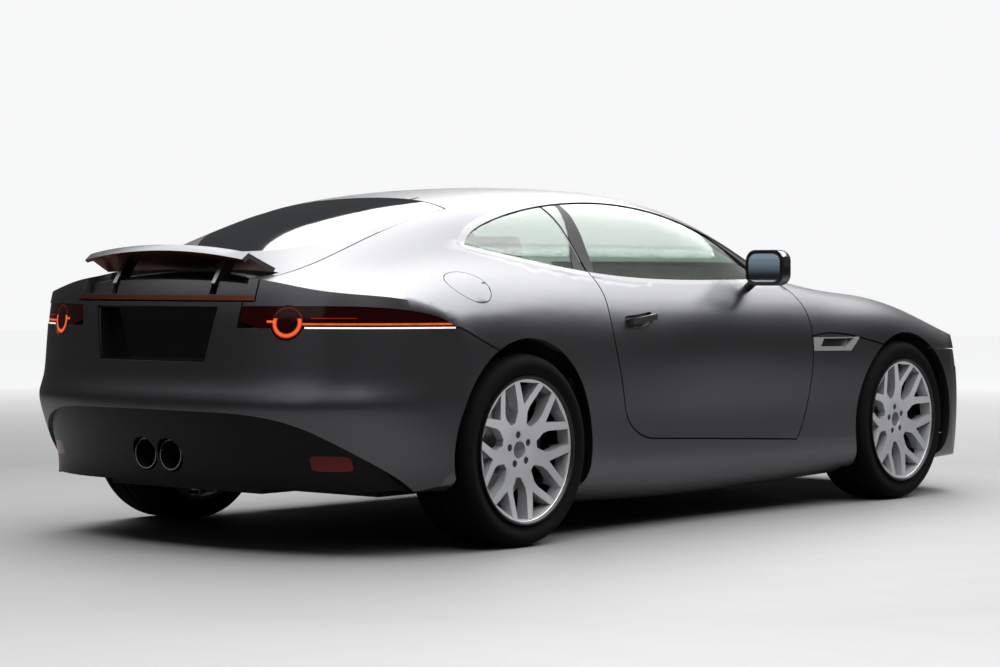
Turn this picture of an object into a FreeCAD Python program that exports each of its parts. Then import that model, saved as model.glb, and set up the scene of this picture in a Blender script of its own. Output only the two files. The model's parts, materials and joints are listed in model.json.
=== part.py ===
import FreeCAD, Part
import Sketcher
import math
import os
from FreeCAD import Vector, Placement, Rotation

# Two-seat coupe car. Millimetres, +X forward, +Y left, +Z up, origin on the ground
# below the middle of the car.

doc = FreeCAD.newDocument("Coupe")
sheet = doc.addObject("Spreadsheet::Sheet", "Dims")

DRIVING = [
    ("overall_length", 4470), ("overall_width", 1923), ("overall_height", 1311),
    ("wheelbase", 2622), ("front_overhang", 890),
    ("track_front", 1600), ("track_rear", 1636),
    ("tyre_diameter", 686), ("tyre_width_front", 255), ("tyre_width_rear", 284),
    ("rim_diameter", 528), ("rim_width_front", 254), ("rim_width_rear", 276),
    ("hub_face_inset", 42), ("spoke_depth", 34), ("cap_diameter", 62),
    ("bolt_circle", 108), ("bolt_hole", 26),
    ("disc_diameter", 370), ("disc_thickness", 30), ("hub_diameter", 148),
    ("arch_front_radius", 378), ("arch_rear_radius", 396), ("liner_radius", 436),
    ("liner_thickness", 5), ("kingpin_track", 1400),
    ("shell_wall", 40), ("bonnet_wall", 26), ("door_wall", 88), ("flange_wall", 26),
    ("glass_depth", 4), ("glass_thickness", 5), ("shut_gap", 6), ("seat_gap", 0.3),
    ("floor_thickness", 50), ("trim_width", 17), ("hinge_pin", 10), ("lid_pin", 6),
    ("exhaust_tip_diameter", 108), ("exhaust_tip_spacing", 126),
    ("steering_wheel_diameter", 368), ("engine_length", 640), ("engine_width", 560),
    ("flap_diameter", 176), ("spoiler_rise", 33),
]
for row, (alias, value) in enumerate(DRIVING, 1):
    sheet.set("A%d" % row, alias)
    sheet.set("B%d" % row, str(value))
    sheet.setAlias("B%d" % row, alias)
doc.recompute()


def dim(alias):
    """A driving dimension as a plain number."""
    return float(getattr(sheet, alias))


LENGTH, WIDTH, HEIGHT = dim("overall_length"), dim("overall_width"), dim("overall_height")
AXLE_F = LENGTH / 2 - dim("front_overhang")
AXLE_R = AXLE_F - dim("wheelbase")
TYRE_R = dim("tyre_diameter") / 2
GAP, SEAT = dim("shut_gap"), dim("seat_gap")
WALL, DOOR_WALL, FLANGE = dim("shell_wall"), dim("door_wall"), dim("flange_wall")
GLASS_TOP, GLASS = dim("glass_depth"), dim("glass_thickness")

# The lines plan was drawn for these stations and overall sizes.
DRAWN = {"tail": -2235.0, "rear": -1277.0, "front": 1345.0, "nose": 2235.0,
         "width": 1923.0, "height": 1311.0}


def along(x):
    """Where a drawn station lies on a car of these overhangs and this wheelbase."""
    if x < DRAWN["rear"]:
        tail_scale = (AXLE_R + LENGTH / 2) / (DRAWN["rear"] - DRAWN["tail"])
        return AXLE_R + (x - DRAWN["rear"]) * tail_scale
    if x > DRAWN["front"]:
        nose_scale = (LENGTH / 2 - AXLE_F) / (DRAWN["nose"] - DRAWN["front"])
        return AXLE_F + (x - DRAWN["front"]) * nose_scale
    return AXLE_R + (x - DRAWN["rear"]) * (AXLE_F - AXLE_R) / (DRAWN["front"] - DRAWN["rear"])


def across(y):
    return y * WIDTH / DRAWN["width"]


def up(z):
    return z * HEIGHT / DRAWN["height"]


# Rails of the upper body: along the car, each is a line of (x, y, z) points.
STATIONS = [-2420, -2240, -2060, -1880, -1700, -1520, -1340, -1160, -980, -800, -620,
            -440, -260, -80, 100, 280, 460, 620, 760, 900, 1060, 1240, 1420, 1600,
            1780, 1940, 2100, 2260, 2420]
RAILS = {
    "sill_under": [(-2420, 700, 235), (-1900, 720, 205), (-1000, 760, 130),
                   (1000, 760, 125), (1900, 720, 150), (2420, 700, 170)],
    "sill_edge": [(-2420, 958, 235), (-1700, 956, 215), (-900, 930, 172), (0, 892, 160),
                  (850, 905, 152), (1700, 928, 140), (2420, 935, 160)],
    "sill_face": [(-2420, 968, 330), (-1700, 966, 320), (-1277, 962, 310),
                  (-800, 935, 300), (0, 902, 285), (850, 915, 285), (1700, 935, 300),
                  (2420, 945, 300)],
    "lower_side": [(-2420, 970, 470), (-1700, 968, 460), (-1277, 962, 450),
                   (-800, 928, 440), (0, 893, 425), (850, 912, 425), (1700, 938, 440),
                   (2420, 948, 430)],
    "waist": [(-2420, 972, 620), (-1700, 970, 615), (-1277, 964, 610), (-800, 938, 600),
              (0, 920, 590), (700, 928, 585), (1345, 940, 590), (2420, 948, 540)],
    "shoulder_low": [(-2420, 965, 760), (-1700, 966, 765), (-1277, 962, 770),
                     (-800, 934, 760), (0, 926, 745), (700, 928, 730), (1345, 938, 725),
                     (1800, 930, 660), (2420, 920, 560)],
    "shoulder": [(-2420, 905, 838), (-1900, 925, 858), (-1500, 935, 885),
                 (-1277, 922, 900), (-800, 886, 890), (0, 888, 868), (700, 885, 852),
                 (1345, 890, 822), (1800, 870, 725), (2420, 850, 600)],
    "belt": [(-2420, 790, 832), (-1900, 800, 899), (-1500, 822, 962), (-1150, 812, 985),
             (-800, 806, 968), (-200, 812, 948), (400, 815, 938), (700, 812, 920),
             (1000, 792, 895), (1345, 775, 868), (1600, 760, 812), (1800, 745, 742),
             (2100, 700, 600), (2420, 660, 480)],
    "side_glass": [(-2420, 640, 852), (-1900, 650, 931), (-1500, 680, 1010),
                   (-1150, 706, 1062), (-800, 742, 1062), (-200, 758, 1055),
                   (250, 768, 1032), (500, 758, 978), (760, 715, 925), (1000, 650, 902),
                   (1345, 620, 880), (1600, 610, 830), (1800, 600, 772), (2100, 560, 655),
                   (2420, 520, 520)],
    "cant": [(-2420, 480, 905), (-1900, 500, 972), (-1500, 545, 1090),
             (-1150, 588, 1182), (-800, 612, 1228), (-350, 635, 1246), (0, 668, 1218),
             (250, 692, 1140), (450, 705, 1042), (620, 665, 962), (800, 560, 930),
             (1000, 500, 910), (1345, 480, 888), (1600, 465, 842), (1800, 450, 790),
             (2100, 420, 680), (2420, 380, 560)],
    "roof_mid": [(-2420, 280, 925), (-1900, 290, 1000), (-1500, 320, 1140),
                 (-1150, 350, 1238), (-800, 365, 1284), (-350, 375, 1300), (0, 378, 1276),
                 (250, 376, 1195), (500, 362, 1085), (720, 330, 985), (860, 290, 938),
                 (1000, 270, 920), (1345, 250, 897), (1600, 240, 852), (1800, 230, 802),
                 (2100, 215, 700), (2420, 190, 590)],
    "centre": [(-2420, 0, 930), (-1900, 0, 1012), (-1500, 0, 1160), (-1257, 0, 1228),
               (-1041, 0, 1268), (-800, 0, 1298), (-400, 0, 1314), (0, 0, 1298),
               (250, 0, 1220), (500, 0, 1110), (720, 0, 1004), (860, 0, 950),
               (1000, 0, 925), (1345, 0, 898), (1600, 0, 856), (1800, 0, 808),
               (2100, 0, 706), (2420, 0, 600)],
}
# Plan outline of the tail and the nose, and how far each height stands back from it.
TAIL_PLAN = [(3000, 1250), (0, 1250), (-900, 1180), (-1300, 1075), (-1560, 985),
             (-1760, 940), (-1930, 872), (-2060, 770), (-2150, 600), (-2208, 400),
             (-2236, 200), (-2244, 0)]
TAIL_RISE = [(-200, 60), (120, 60), (260, 105), (400, 40), (480, 12), (530, 0),
             (580, 30), (660, 38), (780, 48), (880, 62), (960, 95), (1500, 300)]
NOSE_PLAN = [(-3000, 1250), (0, 1250), (900, 1150), (1350, 1040), (1640, 965),
             (1830, 915), (1980, 830), (2080, 700), (2150, 540), (2206, 360),
             (2237, 180), (2246, 0)]
NOSE_RISE = [(-200, 60), (110, 50), (200, 20), (300, 6), (420, 0), (520, 8), (600, 25),
             (680, 55), (760, 110), (900, 260), (1500, 900)]
FULL_SET_BACK_Y, NO_SET_BACK_Y = 900, 1000


def rail_at(points, x):
    """The y and z of a rail at a station: a smooth curve through its points."""
    spans = [b[0] - a[0] for a, b in zip(points, points[1:])]
    i = max(0, min(len(spans) - 1, sum(1 for p in points[1:-1] if p[0] <= x)))
    t = (x - points[i][0]) / spans[i]
    found = []
    for k in (1, 2):
        rise = [(b[k] - a[k]) / s for a, b, s in zip(points, points[1:], spans)]
        slope = [rise[0]]
        for j in range(1, len(spans)):
            blend = rise[j - 1] * spans[j] + rise[j] * spans[j - 1]
            slope.append(blend / (spans[j] + spans[j - 1]))
        slope.append(rise[-1])
        found.append((2 * t ** 3 - 3 * t ** 2 + 1) * points[i][k]
                     + (t ** 3 - 2 * t ** 2 + t) * spans[i] * slope[i]
                     + (3 * t ** 2 - 2 * t ** 3) * points[i + 1][k]
                     + (t ** 3 - t ** 2) * spans[i] * slope[i + 1])
    return found


def spline_surface(rows):
    """A cubic surface whose control net is these rows of points."""
    surface = Part.BSplineSurface()
    spans_u, spans_v = len(rows) - 3, len(rows[0]) - 3
    mults_u = [4] + [1] * (spans_u - 1) + [4]
    mults_v = [4] + [1] * (spans_v - 1) + [4]
    knots_u = [float(k) for k in range(spans_u + 1)]
    knots_v = [float(k) for k in range(spans_v + 1)]
    surface.buildFromPolesMultsKnots(rows, mults_u, mults_v, knots_u, knots_v,
                                     False, False, 3, 3)
    return surface


def closed_solid(surface):
    """The solid under an arched surface: its two long edges and its ends are closed."""
    u0, u1, v0, v1 = surface.bounds()
    faces = [surface.toShape(),
             Part.makeRuledSurface(surface.vIso(v0).toShape(), surface.vIso(v1).toShape())]
    for u in (u0, u1):
        rim = surface.uIso(u)
        chord = Part.makeLine(rim.value(rim.LastParameter), rim.value(rim.FirstParameter))
        faces.append(Part.Face(Part.Wire([rim.toShape(), chord])))
    shell = Part.makeShell(faces)
    shell.sewShape()
    solid = Part.makeSolid(shell)
    if solid.Volume < 0:
        solid.reverse()
    return solid


def body_arch(inset):
    """Sides, shoulders, greenhouse and roof in one surface, set in by a wall."""
    rows = []
    for x in STATIONS:
        half = []
        for points in RAILS.values():
            y, z = rail_at(points, x)
            half.append(Vector(along(x), across(y), up(z)))
        rows.append([Vector(p.x, -p.y, p.z) for p in half[:-1]] + [half[-1]]
                    + list(reversed(half[:-1])))
    if inset:
        last_u, last_v = len(rows) - 1, len(rows[0]) - 1
        moved = []
        for i, row in enumerate(rows):
            new_row = []
            for j, point in enumerate(row):
                fore = rows[min(i + 1, last_u)][j] - rows[max(i - 1, 0)][j]
                side = row[min(j + 1, last_v)] - row[max(j - 1, 0)]
                normal = fore.cross(side)
                normal.normalize()
                target = point - normal * inset
                if i in (0, last_u):
                    target.x = point.x
                new_row.append(target)
            moved.append(new_row)
        rows = moved
    return closed_solid(spline_surface(rows))


def end_cap(plan, rise, sign, inset):
    """Everything inboard of the tail (sign -1) or nose (+1) face, set in by a wall."""
    outline = []
    for i, (x, y) in enumerate(plan):
        ahead = plan[max(i - 1, 0)]
        behind = plan[min(i + 1, len(plan) - 1)]
        step = Vector(behind[0] - ahead[0], behind[1] - ahead[1], 0)
        step.normalize()
        outline.append((x - abs(step.y) * inset * sign, y - abs(step.x) * inset, y))
    rows = []
    for z, back in rise:
        half = []
        for x, y, drawn_y in outline:
            share = (NO_SET_BACK_Y - drawn_y) / (NO_SET_BACK_Y - FULL_SET_BACK_Y)
            share = max(0.0, min(1.0, share))
            half.append(Vector(along(x - sign * back * share), across(y), up(z)))
        rows.append(half + [Vector(p.x, -p.y, p.z) for p in reversed(half[:-1])])
    return closed_solid(spline_surface(rows))


def body_form(inset=0.0):
    """The whole closed body form, its surface set in by the given wall."""
    form = body_arch(inset)
    form = form.common(end_cap(TAIL_PLAN, TAIL_RISE, -1, inset))
    return form.common(end_cap(NOSE_PLAN, NOSE_RISE, 1, inset))


# Reaches of cutting blocks: past the ends, past the sides and over the roof.
BEYOND, BESIDE, ABOVE = 3000, 1300, 1700
FORMS = {}


def form(inset):
    """The body form at a depth below its surface, made once for each depth."""
    if inset not in FORMS:
        FORMS[inset] = body_form(inset)
    return FORMS[inset]


def wall(outer, inner):
    return form(outer).cut(form(inner))


def grown(runs, by):
    """The runs of a closed outline, each point moved out square to its neighbours."""
    ring = [point for run in runs for point in run[:-1]]
    count = len(ring)
    area = sum(ring[i - 1][0] * ring[i][1] - ring[i][0] * ring[i - 1][1] for i in range(count))
    turn = 1 if area > 0 else -1
    moved = {}
    for i, point in enumerate(ring):
        before, after = ring[i - 1], ring[(i + 1) % count]
        first = Vector(point[0] - before[0], point[1] - before[1], 0)
        second = Vector(after[0] - point[0], after[1] - point[1], 0)
        first.normalize()
        second.normalize()
        out = Vector(first.y + second.y, -first.x - second.x, 0) * turn
        out.normalize()
        reach = by / max(0.5, out.dot(Vector(second.y, -second.x, 0) * turn))
        moved[point] = (point[0] + out.x * reach, point[1] + out.y * reach)
    return [[moved[point] for point in run] for run in runs]


def flat_face(runs, place, by=0.0):
    """The face inside runs: one of two points is straight, a longer one is curved."""
    edges = []
    for run in (grown(runs, by) if by else runs):
        points = [place(a, b) for a, b in run]
        if len(points) == 2:
            edges.append(Part.makeLine(points[0], points[1]))
        else:
            curve = Part.BSplineCurve()
            curve.interpolate(points)
            edges.append(curve.toShape())
    return Part.Face(Part.Wire(edges))


def side_view(x, z):
    return Vector(along(x), 0, up(z))


def top_view(x, y):
    return Vector(along(x), across(y), 0)


def end_view(y, z):
    return Vector(0, across(y), up(z))


def side_block(runs, grow=0.0, near=300.0, far=BESIDE):
    """A side-view outline run across the car, from near to far off the centre line."""
    face = flat_face(runs, side_view, grow)
    face.translate(Vector(0, near, 0))
    return face.extrude(Vector(0, far - near, 0))


def top_block(runs, grow=0.0, low=0.0, high=1600.0):
    face = flat_face(runs, top_view, grow)
    face.translate(Vector(0, 0, low))
    return face.extrude(Vector(0, 0, high - low))


def end_block(runs, grow=0.0, near=-2600.0, far=-1600.0):
    face = flat_face(runs, end_view, grow)
    face.translate(Vector(near, 0, 0))
    return face.extrude(Vector(far - near, 0, 0))


def mirrored(shape):
    return shape.mirror(Vector(0, 0, 0), Vector(0, 1, 0))


def both(shape):
    return shape.fuse(mirrored(shape))


def box(x0, x1, y0, y1, z0, z1):
    return Part.makeBox(x1 - x0, y1 - y0, z1 - z0, Vector(x0, y0, z0))


def axle_drum(x, radius, near, far):
    """A drum about an axle on the left side, from near to far off the centre line."""
    return Part.makeCylinder(radius, far - near, Vector(x, near, TYRE_R), Vector(0, 1, 0))


PARTS = []


def piece(name, shape):
    """A sub-part whose shape is worked out from the sheet's sizes."""
    thing = doc.addObject("Part::Feature", name)
    thing.Label = name
    thing.Shape = shape
    PARTS.append(thing)
    return thing


def slab(outer, inner, block):
    """What a block takes out of the wall between two depths below the surface."""
    return form(outer).common(block).cut(form(inner))


# Outlines of the openings in the skin, in side view (x, z).
DOOR = [[(-742, 990), (-728, 930), (-742, 815), (-716, 645), (-673, 510), (-644, 430),
         (-593, 385), (-462, 349)],
        [(-462, 349), (530, 299)],
        [(530, 299), (603, 457), (618, 645), (616, 747), (602, 834), (575, 884),
         (520, 932)],
        [(520, 932), (500, 990)], [(500, 990), (-742, 990)]]
WINDOW_TOP = [(-1292, 1068), (-1253, 1094), (-1090, 1157), (-791, 1217), (-545, 1240),
              (-300, 1240), (-60, 1205), (180, 1125), (400, 1030)]
WINDOW_NOSE = [(400, 1030), (450, 985), (440, 948)]
BELT = [(440, 948), (-100, 944), (-560, 958), (-1000, 1008), (-1292, 1068)]
WINDOW = [WINDOW_TOP, WINDOW_NOSE, BELT]
TRIM = dim("trim_width")
ABOVE_BELT = [[(700, 952 - TRIM), (440, 948 - TRIM)],
              [(440, 948 - TRIM), (-100, 944 - TRIM), (-560, 958 - TRIM),
               (-1000, 1008 - TRIM)],
              [(-1000, 1008 - TRIM), (-1000, 1500)], [(-1000, 1500), (700, 1500)],
              [(700, 1500), (700, 952 - TRIM)]]
SPLIT_X = -737
SCUTTLE = [(500, 930), (530, 830), (565, 740), (640, 600), (705, 400), (738, 200),
           (748, 0), (738, -200), (705, -400), (640, -600), (565, -740), (530, -830),
           (500, -930)]
SCREEN = [[(545, 700), (612, 580), (675, 400), (708, 200), (718, 0), (708, -200),
           (675, -400), (612, -580), (545, -700)],
          [(545, -700), (420, -672), (240, -636), (60, -592), (-70, -548)],
          [(-70, -548), (-100, -300), (-108, 0), (-100, 300), (-70, 548)],
          [(-70, 548), (60, 592), (240, 636), (420, 672), (545, 700)]]
WING_TOP = [(608, 714), (978, 708), (1153, 677), (1345, 655), (1551, 650), (1770, 643),
            (2000, 645), (2400, 655)]
BONNET = [WING_TOP,
          [(2400, 655), (2400, 1300)], [(2400, 1300), (480, 1300)],
          [(480, 1300), (480, 714)], [(480, 714), (608, 714)]]
AHEAD_OF_SCUTTLE = [SCUTTLE, [(500, -930), (500, -1300)], [(500, -1300), (2500, -1300)],
                    [(2500, -1300), (2500, 1300)], [(2500, 1300), (500, 1300)],
                    [(500, 1300), (500, 930)]]
WING = [[(470, 302), (1250, 284)], [(1250, 284), (1250, 665)],
        [(1250, 665), (1153, 677), (978, 708), (608, 714)], [(608, 714), (470, 714)],
        [(470, 714), (470, 302)]]
VENT = [[(627, 711), (978, 707)], [(978, 707), (905, 650)], [(905, 650), (627, 655)],
        [(627, 655), (627, 711)]]
POCKET = [[(-645, 768), (-560, 768), (-478, 785)], [(-478, 785), (-462, 804), (-480, 824)],
          [(-480, 824), (-560, 815), (-640, 810)], [(-640, 810), (-660, 790), (-645, 768)]]
POCKET_DEPTH = 15
# The door is thin along this stretch of its rear edge, to swing out past the pillar.
REAR_EDGE = [[(-800, 640), (-690, 640)], [(-690, 640), (-690, 1010)],
             [(-690, 1010), (-800, 1010)], [(-800, 1010), (-800, 640)]]
DOOR_EDGE = 8
VENT_SLOT = [[(705, 704), (930, 702)], [(930, 702), (888, 668)], [(888, 668), (678, 671)],
             [(678, 671), (705, 704)]]
NOSE_BUMPER = [[(1345, 60), (2500, 60)], [(2500, 60), (2500, 640)],
               [(2500, 640), (2000, 636), (1770, 636), (1551, 644), (1345, 649)],
               [(1345, 649), (1345, 60)]]
TAIL_BUMPER = [[(-2500, 100), (-1300, 100)], [(-1300, 100), (-1300, 640)],
               [(-1300, 640), (-1498, 714)], [(-1498, 714), (-1650, 778)],
               [(-1650, 778), (-2500, 778)], [(-2500, 778), (-2500, 100)]]
LAMP_BAND = [[(-1668, 784), (-1720, 812), (-1800, 834), (-1900, 848), (-2050, 854),
              (-2500, 856)],
             [(-2500, 856), (-2500, 778)], [(-2500, 778), (-1668, 778)],
             [(-1668, 778), (-1668, 784)]]
# Outlines in end view (y, z), left side.
LAMP_END = [[(397, 800), (470, 778)], [(470, 778), (470, 740)], [(470, 740), (1200, 740)],
            [(1200, 740), (1200, 870)], [(1200, 870), (408, 870)], [(408, 870), (397, 800)]]
LAMP_EYE_Y, LAMP_EYE_Z, LAMP_EYE_R = 572, 797, 60
PLATE = [[(-305, 850), (-265, 660)], [(-265, 660), (265, 660)], [(265, 660), (305, 850)],
         [(305, 850), (-305, 850)]]
DIFFUSER = [[(-905, 60), (-880, 240), (-780, 350), (-640, 442), (-480, 482), (-240, 492),
             (0, 494), (240, 492), (480, 482), (640, 442), (780, 350), (880, 240),
             (905, 60)], [(905, 60), (-905, 60)]]
GRILLE = [[(-430, 300), (430, 300)], [(430, 300), (500, 400), (500, 500), (440, 585)],
          [(440, 585), (-440, 585)], [(-440, 585), (-500, 500), (-500, 400), (-430, 300)]]
INTAKE = [[(560, 230), (800, 255)], [(800, 255), (815, 450)], [(815, 450), (600, 420)],
          [(600, 420), (560, 230)]]
HEADLAMP = [[(1600, 655), (1760, 590), (1900, 545), (2050, 520), (2300, 520)],
            [(2300, 520), (2300, 700)], [(2300, 700), (1600, 700)],
            [(1600, 700), (1600, 655)]]
# Outlines from above (x, y).
TAILGATE = [[(-1158, -458), (-1122, -300), (-1102, -150), (-1096, 0), (-1102, 150),
             (-1122, 300), (-1158, 458)],
            [(-1158, 458), (-1505, 436), (-1760, 436), (-2020, 444)],
            [(-2020, 444), (-2500, 448)], [(-2500, 448), (-2500, -448)],
            [(-2500, -448), (-2020, -444)],
            [(-2020, -444), (-1760, -436), (-1505, -436), (-1158, -458)]]
TAILGATE_Z = 872
REAR_GLASS = [[(-1158, -458), (-1122, -300), (-1102, -150), (-1096, 0), (-1102, 150),
               (-1122, 300), (-1158, 458)],
              [(-1158, 458), (-1490, 437)],
              [(-1490, 437), (-1640, 330), (-1760, 200), (-1800, 0), (-1760, -200),
               (-1640, -330), (-1490, -437)],
              [(-1490, -437), (-1158, -458)]]
FLAP_X, FLAP_Y, FLAP_Z = -1501, 866, 927
DRUM_NEAR_F, DRUM_NEAR_R, DRUM_LIP = 470, 610, 862


def arch_drums():
    """What the wheels and their arches keep free on the left side."""
    liner = dim("liner_radius") + dim("liner_thickness")
    cuts = []
    for x, lip, near in ((AXLE_F, dim("arch_front_radius"), across(DRUM_NEAR_F)),
                         (AXLE_R, dim("arch_rear_radius"), across(DRUM_NEAR_R))):
        cuts.append(axle_drum(x, lip, across(DRUM_LIP) - 1, BESIDE))
        cuts.append(axle_drum(x, liner + SEAT, near - SEAT, across(DRUM_LIP)))
    return Part.makeCompound(cuts)


DRUMS = arch_drums()
ALL_DRUMS = Part.makeCompound([DRUMS, mirrored(DRUMS)])


def whole(shape):
    """The main solid of a cut, without the crumbs beside it."""
    return max(shape.Solids, key=lambda solid: solid.Volume)


def panels():
    """The painted panels, glass and trim, each cut from the walls of the body form."""
    belly = box(-4000, along(1560), -across(730), across(730), 0, up(230))
    door_cut = side_block(DOOR, GAP).cut(side_block(ABOVE_BELT, -GAP, 0))
    window_cut = side_block(WINDOW, TRIM)
    wing_cut = side_block(WING, SEAT)
    vent_cut = side_block(VENT, SEAT)
    eye = Part.makeCylinder(LAMP_EYE_R, 700, Vector(-2600, across(LAMP_EYE_Y),
                                                    up(LAMP_EYE_Z)), Vector(1, 0, 0))
    lamp_block = end_block(LAMP_END).common(side_block(LAMP_BAND, 0, 0)).fuse(eye)
    head_block = side_block(HEADLAMP, 0, 520).common(side_block(NOSE_BUMPER, 0, 0))
    flap = Part.makeCylinder(dim("flap_diameter") / 2, 300,
                             Vector(along(FLAP_X), across(-FLAP_Y), up(FLAP_Z))
                             - FLAP_NORMAL * 150, FLAP_NORMAL)
    flap_cut = Part.makeCylinder(dim("flap_diameter") / 2 + GAP / 2, 300,
                                 Vector(along(FLAP_X), across(-FLAP_Y), up(FLAP_Z))
                                 - FLAP_NORMAL * 150, FLAP_NORMAL)

    door = slab(0, DOOR_WALL, side_block(DOOR).cut(side_block(ABOVE_BELT, 0, 0)))
    flange_only = box(HINGE_X - 20, HINGE_X + 400, 0, BESIDE, -100, ABOVE)
    door = door.cut(form(FLANGE).common(flange_only))
    door = door.cut(slab(0, POCKET_DEPTH, side_block(POCKET)))
    door = door.cut(slab(DOOR_EDGE, DOOR_WALL + GAP, side_block(REAR_EDGE)))
    glass = slab(GLASS_TOP, GLASS_TOP + GLASS, side_block(WINDOW))
    door_glass = glass.common(box(along(SPLIT_X), along(430), 0, BESIDE, 0, ABOVE))
    quarter_glass = glass.common(box(-BEYOND, along(SPLIT_X) - 12, 0, BESIDE, 0, ABOVE))
    trim = slab(0, 12, window_cut.cut(side_block(WINDOW)))
    door_trim = trim.common(side_block(BELT_BAND, 0, 0)).common(side_block(ABOVE_BELT, 0, 0))
    door_trim = door_trim.common(box(along(SPLIT_X), along(430), 0, BESIDE, 0, ABOVE))
    frame_trim = trim.cut(side_block(BELT_BAND, 0.5, 0).common(
        box(along(SPLIT_X) - GAP, along(430) + GAP, 0, BESIDE, 0, ABOVE))).cut(door_cut)
    wing = slab(0, FLANGE, side_block(WING)).cut(door_cut).cut(DRUMS).cut(vent_cut)
    wing = wing.cut(side_block(BONNET, GAP, 0))
    vent = slab(1, 24, side_block(VENT)).cut(slab(0, 18, side_block(VENT_SLOT)))
    bonnet = slab(0, dim("bonnet_wall"), side_block(BONNET, 0, -BESIDE, BESIDE).common(
        top_block(AHEAD_OF_SCUTTLE)))
    bonnet = bonnet.cut(both(door_cut)).cut(ALL_DRUMS)
    nose = slab(0, WALL, side_block(NOSE_BUMPER, 0, -BESIDE, BESIDE)).cut(ALL_DRUMS)
    nose = nose.cut(belly)
    nose = nose.cut(end_block(GRILLE, 0, 1600, 2600))
    nose = nose.cut(both(end_block(INTAKE, 0, 1600, 2600)))
    nose = nose.cut(both(side_block(HEADLAMP, SEAT, 520 - SEAT)))
    headlamp = slab(3, WALL, head_block)
    tail_block = side_block(TAIL_BUMPER, 0, -BESIDE, BESIDE).fuse(end_block(TAIL_MIDDLE))
    tail = slab(0, WALL, tail_block).cut(ALL_DRUMS).cut(both(lamp_block))
    tail = tail.cut(end_block(DIFFUSER, SEAT)).cut(end_block(PLATE, SEAT))
    tail = tail.cut(belly)
    lamp = slab(3, WALL, lamp_block)
    diffuser = slab(14, WALL, end_block(DIFFUSER, 0, -2600, -1500)).cut(ALL_DRUMS)
    diffuser = diffuser.cut(belly)
    diffuser = diffuser.cut(box(-LENGTH / 2 + 200, -1500, -390, 390, 0, 385))
    for side in (1, -1):
        diffuser = diffuser.cut(Part.makeCylinder(
            dim("exhaust_tip_diameter") / 2 + GAP, 600,
            Vector(-LENGTH / 2 - 100, side * dim("exhaust_tip_spacing") / 2, 333),
            Vector(1, 0, 0)))
    tailgate_block = top_block(TAILGATE, 0, up(TAILGATE_Z), ABOVE)
    tailgate = slab(0, WALL, tailgate_block)
    tailgate = tailgate.cut(form(0).common(top_block(REAR_GLASS, 0, 700)).cut(form(8)))
    tailgate = tailgate.cut(top_block(REAR_GLASS, -45, 700))
    spoiler_block = top_block(SPOILER, 0, up(SPOILER_Z), ABOVE)
    tailgate = tailgate.cut(form(0).common(
        top_block(SPOILER, GAP, up(SPOILER_Z) - GAP, ABOVE)).cut(form(SPOILER_DEPTH + 8)))
    for side in (1, -1):
        tailgate = tailgate.cut(box(along(-2150), along(-2010), side * ARM_Y - 15,
                                    side * ARM_Y + 15, up(800), up(1200)))
    blade = slab(0, SPOILER_DEPTH, spoiler_block).cut(end_block(BLADE_LIP, 0, -2600, -2060))
    rear_glass = slab(1, 8 - SEAT, top_block(REAR_GLASS, -SEAT, 700))
    screen = slab(2, 8, top_block(SCREEN, -SEAT, 900))
    shell = wall(0, WALL)
    shell = shell.cut(both(door_cut)).cut(both(window_cut)).cut(both(wing_cut))
    shell = shell.cut(side_block(BONNET, GAP, -BESIDE, BESIDE).common(
        top_block(AHEAD_OF_SCUTTLE, GAP)))
    shell = shell.cut(form(0).common(top_block(SCREEN, 0, 900)).cut(form(8.3)))
    shell = shell.cut(top_block(SCREEN, -40, 900))
    shell = shell.cut(top_block(TAILGATE, GAP, up(TAILGATE_Z) - GAP, ABOVE))
    shell = shell.cut(side_block(NOSE_BUMPER, GAP, -BESIDE, BESIDE))
    shell = shell.cut(side_block(TAIL_BUMPER, GAP, -BESIDE, BESIDE))
    shell = shell.cut(end_block(TAIL_MIDDLE, GAP)).cut(both(lamp_block)).cut(ALL_DRUMS)
    shell = whole(shell.cut(flap_cut).cut(belly))
    flap_lid = slab(0, 14, flap)
    return {"shell": shell, "nose": nose, "tail": tail, "diffuser": diffuser,
            "bonnet": bonnet, "tailgate": tailgate, "rear_glass": rear_glass,
            "screen": screen, "quarter_glass": quarter_glass, "frame_trim": frame_trim,
            "wing": wing, "vent": vent, "headlamp": headlamp, "lamp": lamp,
            "flap_lid": flap_lid, "door": door, "door_glass": door_glass,
            "door_trim": door_trim, "blade": blade}


SPOILER = [[(-1992, -420), (-1970, -206), (-1964, 0), (-1970, 206), (-1992, 420)],
           [(-1992, 420), (-2500, 338)], [(-2500, 338), (-2500, -338)],
           [(-2500, -338), (-1992, -420)]]
BLADE_LIP = [[(-600, 895), (-300, 921), (0, 932), (300, 921), (600, 895)],
             [(600, 895), (600, 600)], [(600, 600), (-600, 600)], [(-600, 600), (-600, 895)]]
SPOILER_Z, SPOILER_DEPTH, ARM_Y = 898, 16, 250
SPOILER_AXIS_X, SPOILER_AXIS_Z = along(-1968), up(987)
FLAP_NORMAL = Vector(-0.2, -0.62, 0.75)
FLAP_NORMAL.normalize()
HINGE_X, HINGE_Y = along(460), across(900)
BELT_BAND = [[(470, 952 - TRIM - 1), (440, 948 - TRIM - 1)],
             [(440, 948 - TRIM - 1), (-100, 944 - TRIM - 1), (-560, 958 - TRIM - 1),
              (-760, 979 - TRIM - 1)],
             [(-760, 979 - TRIM - 1), (-760, 980)],
             [(-760, 980), (-560, 962), (-100, 950), (440, 954)],
             [(440, 954), (470, 958)], [(470, 958), (470, 952 - TRIM - 1)]]
TAIL_MIDDLE = [[(-390, 700), (390, 700)], [(390, 700), (390, 780)],
               [(390, 780), (400, 866)], [(400, 866), (-400, 866)],
               [(-400, 866), (-390, 780)], [(-390, 780), (-390, 700)]]


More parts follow.
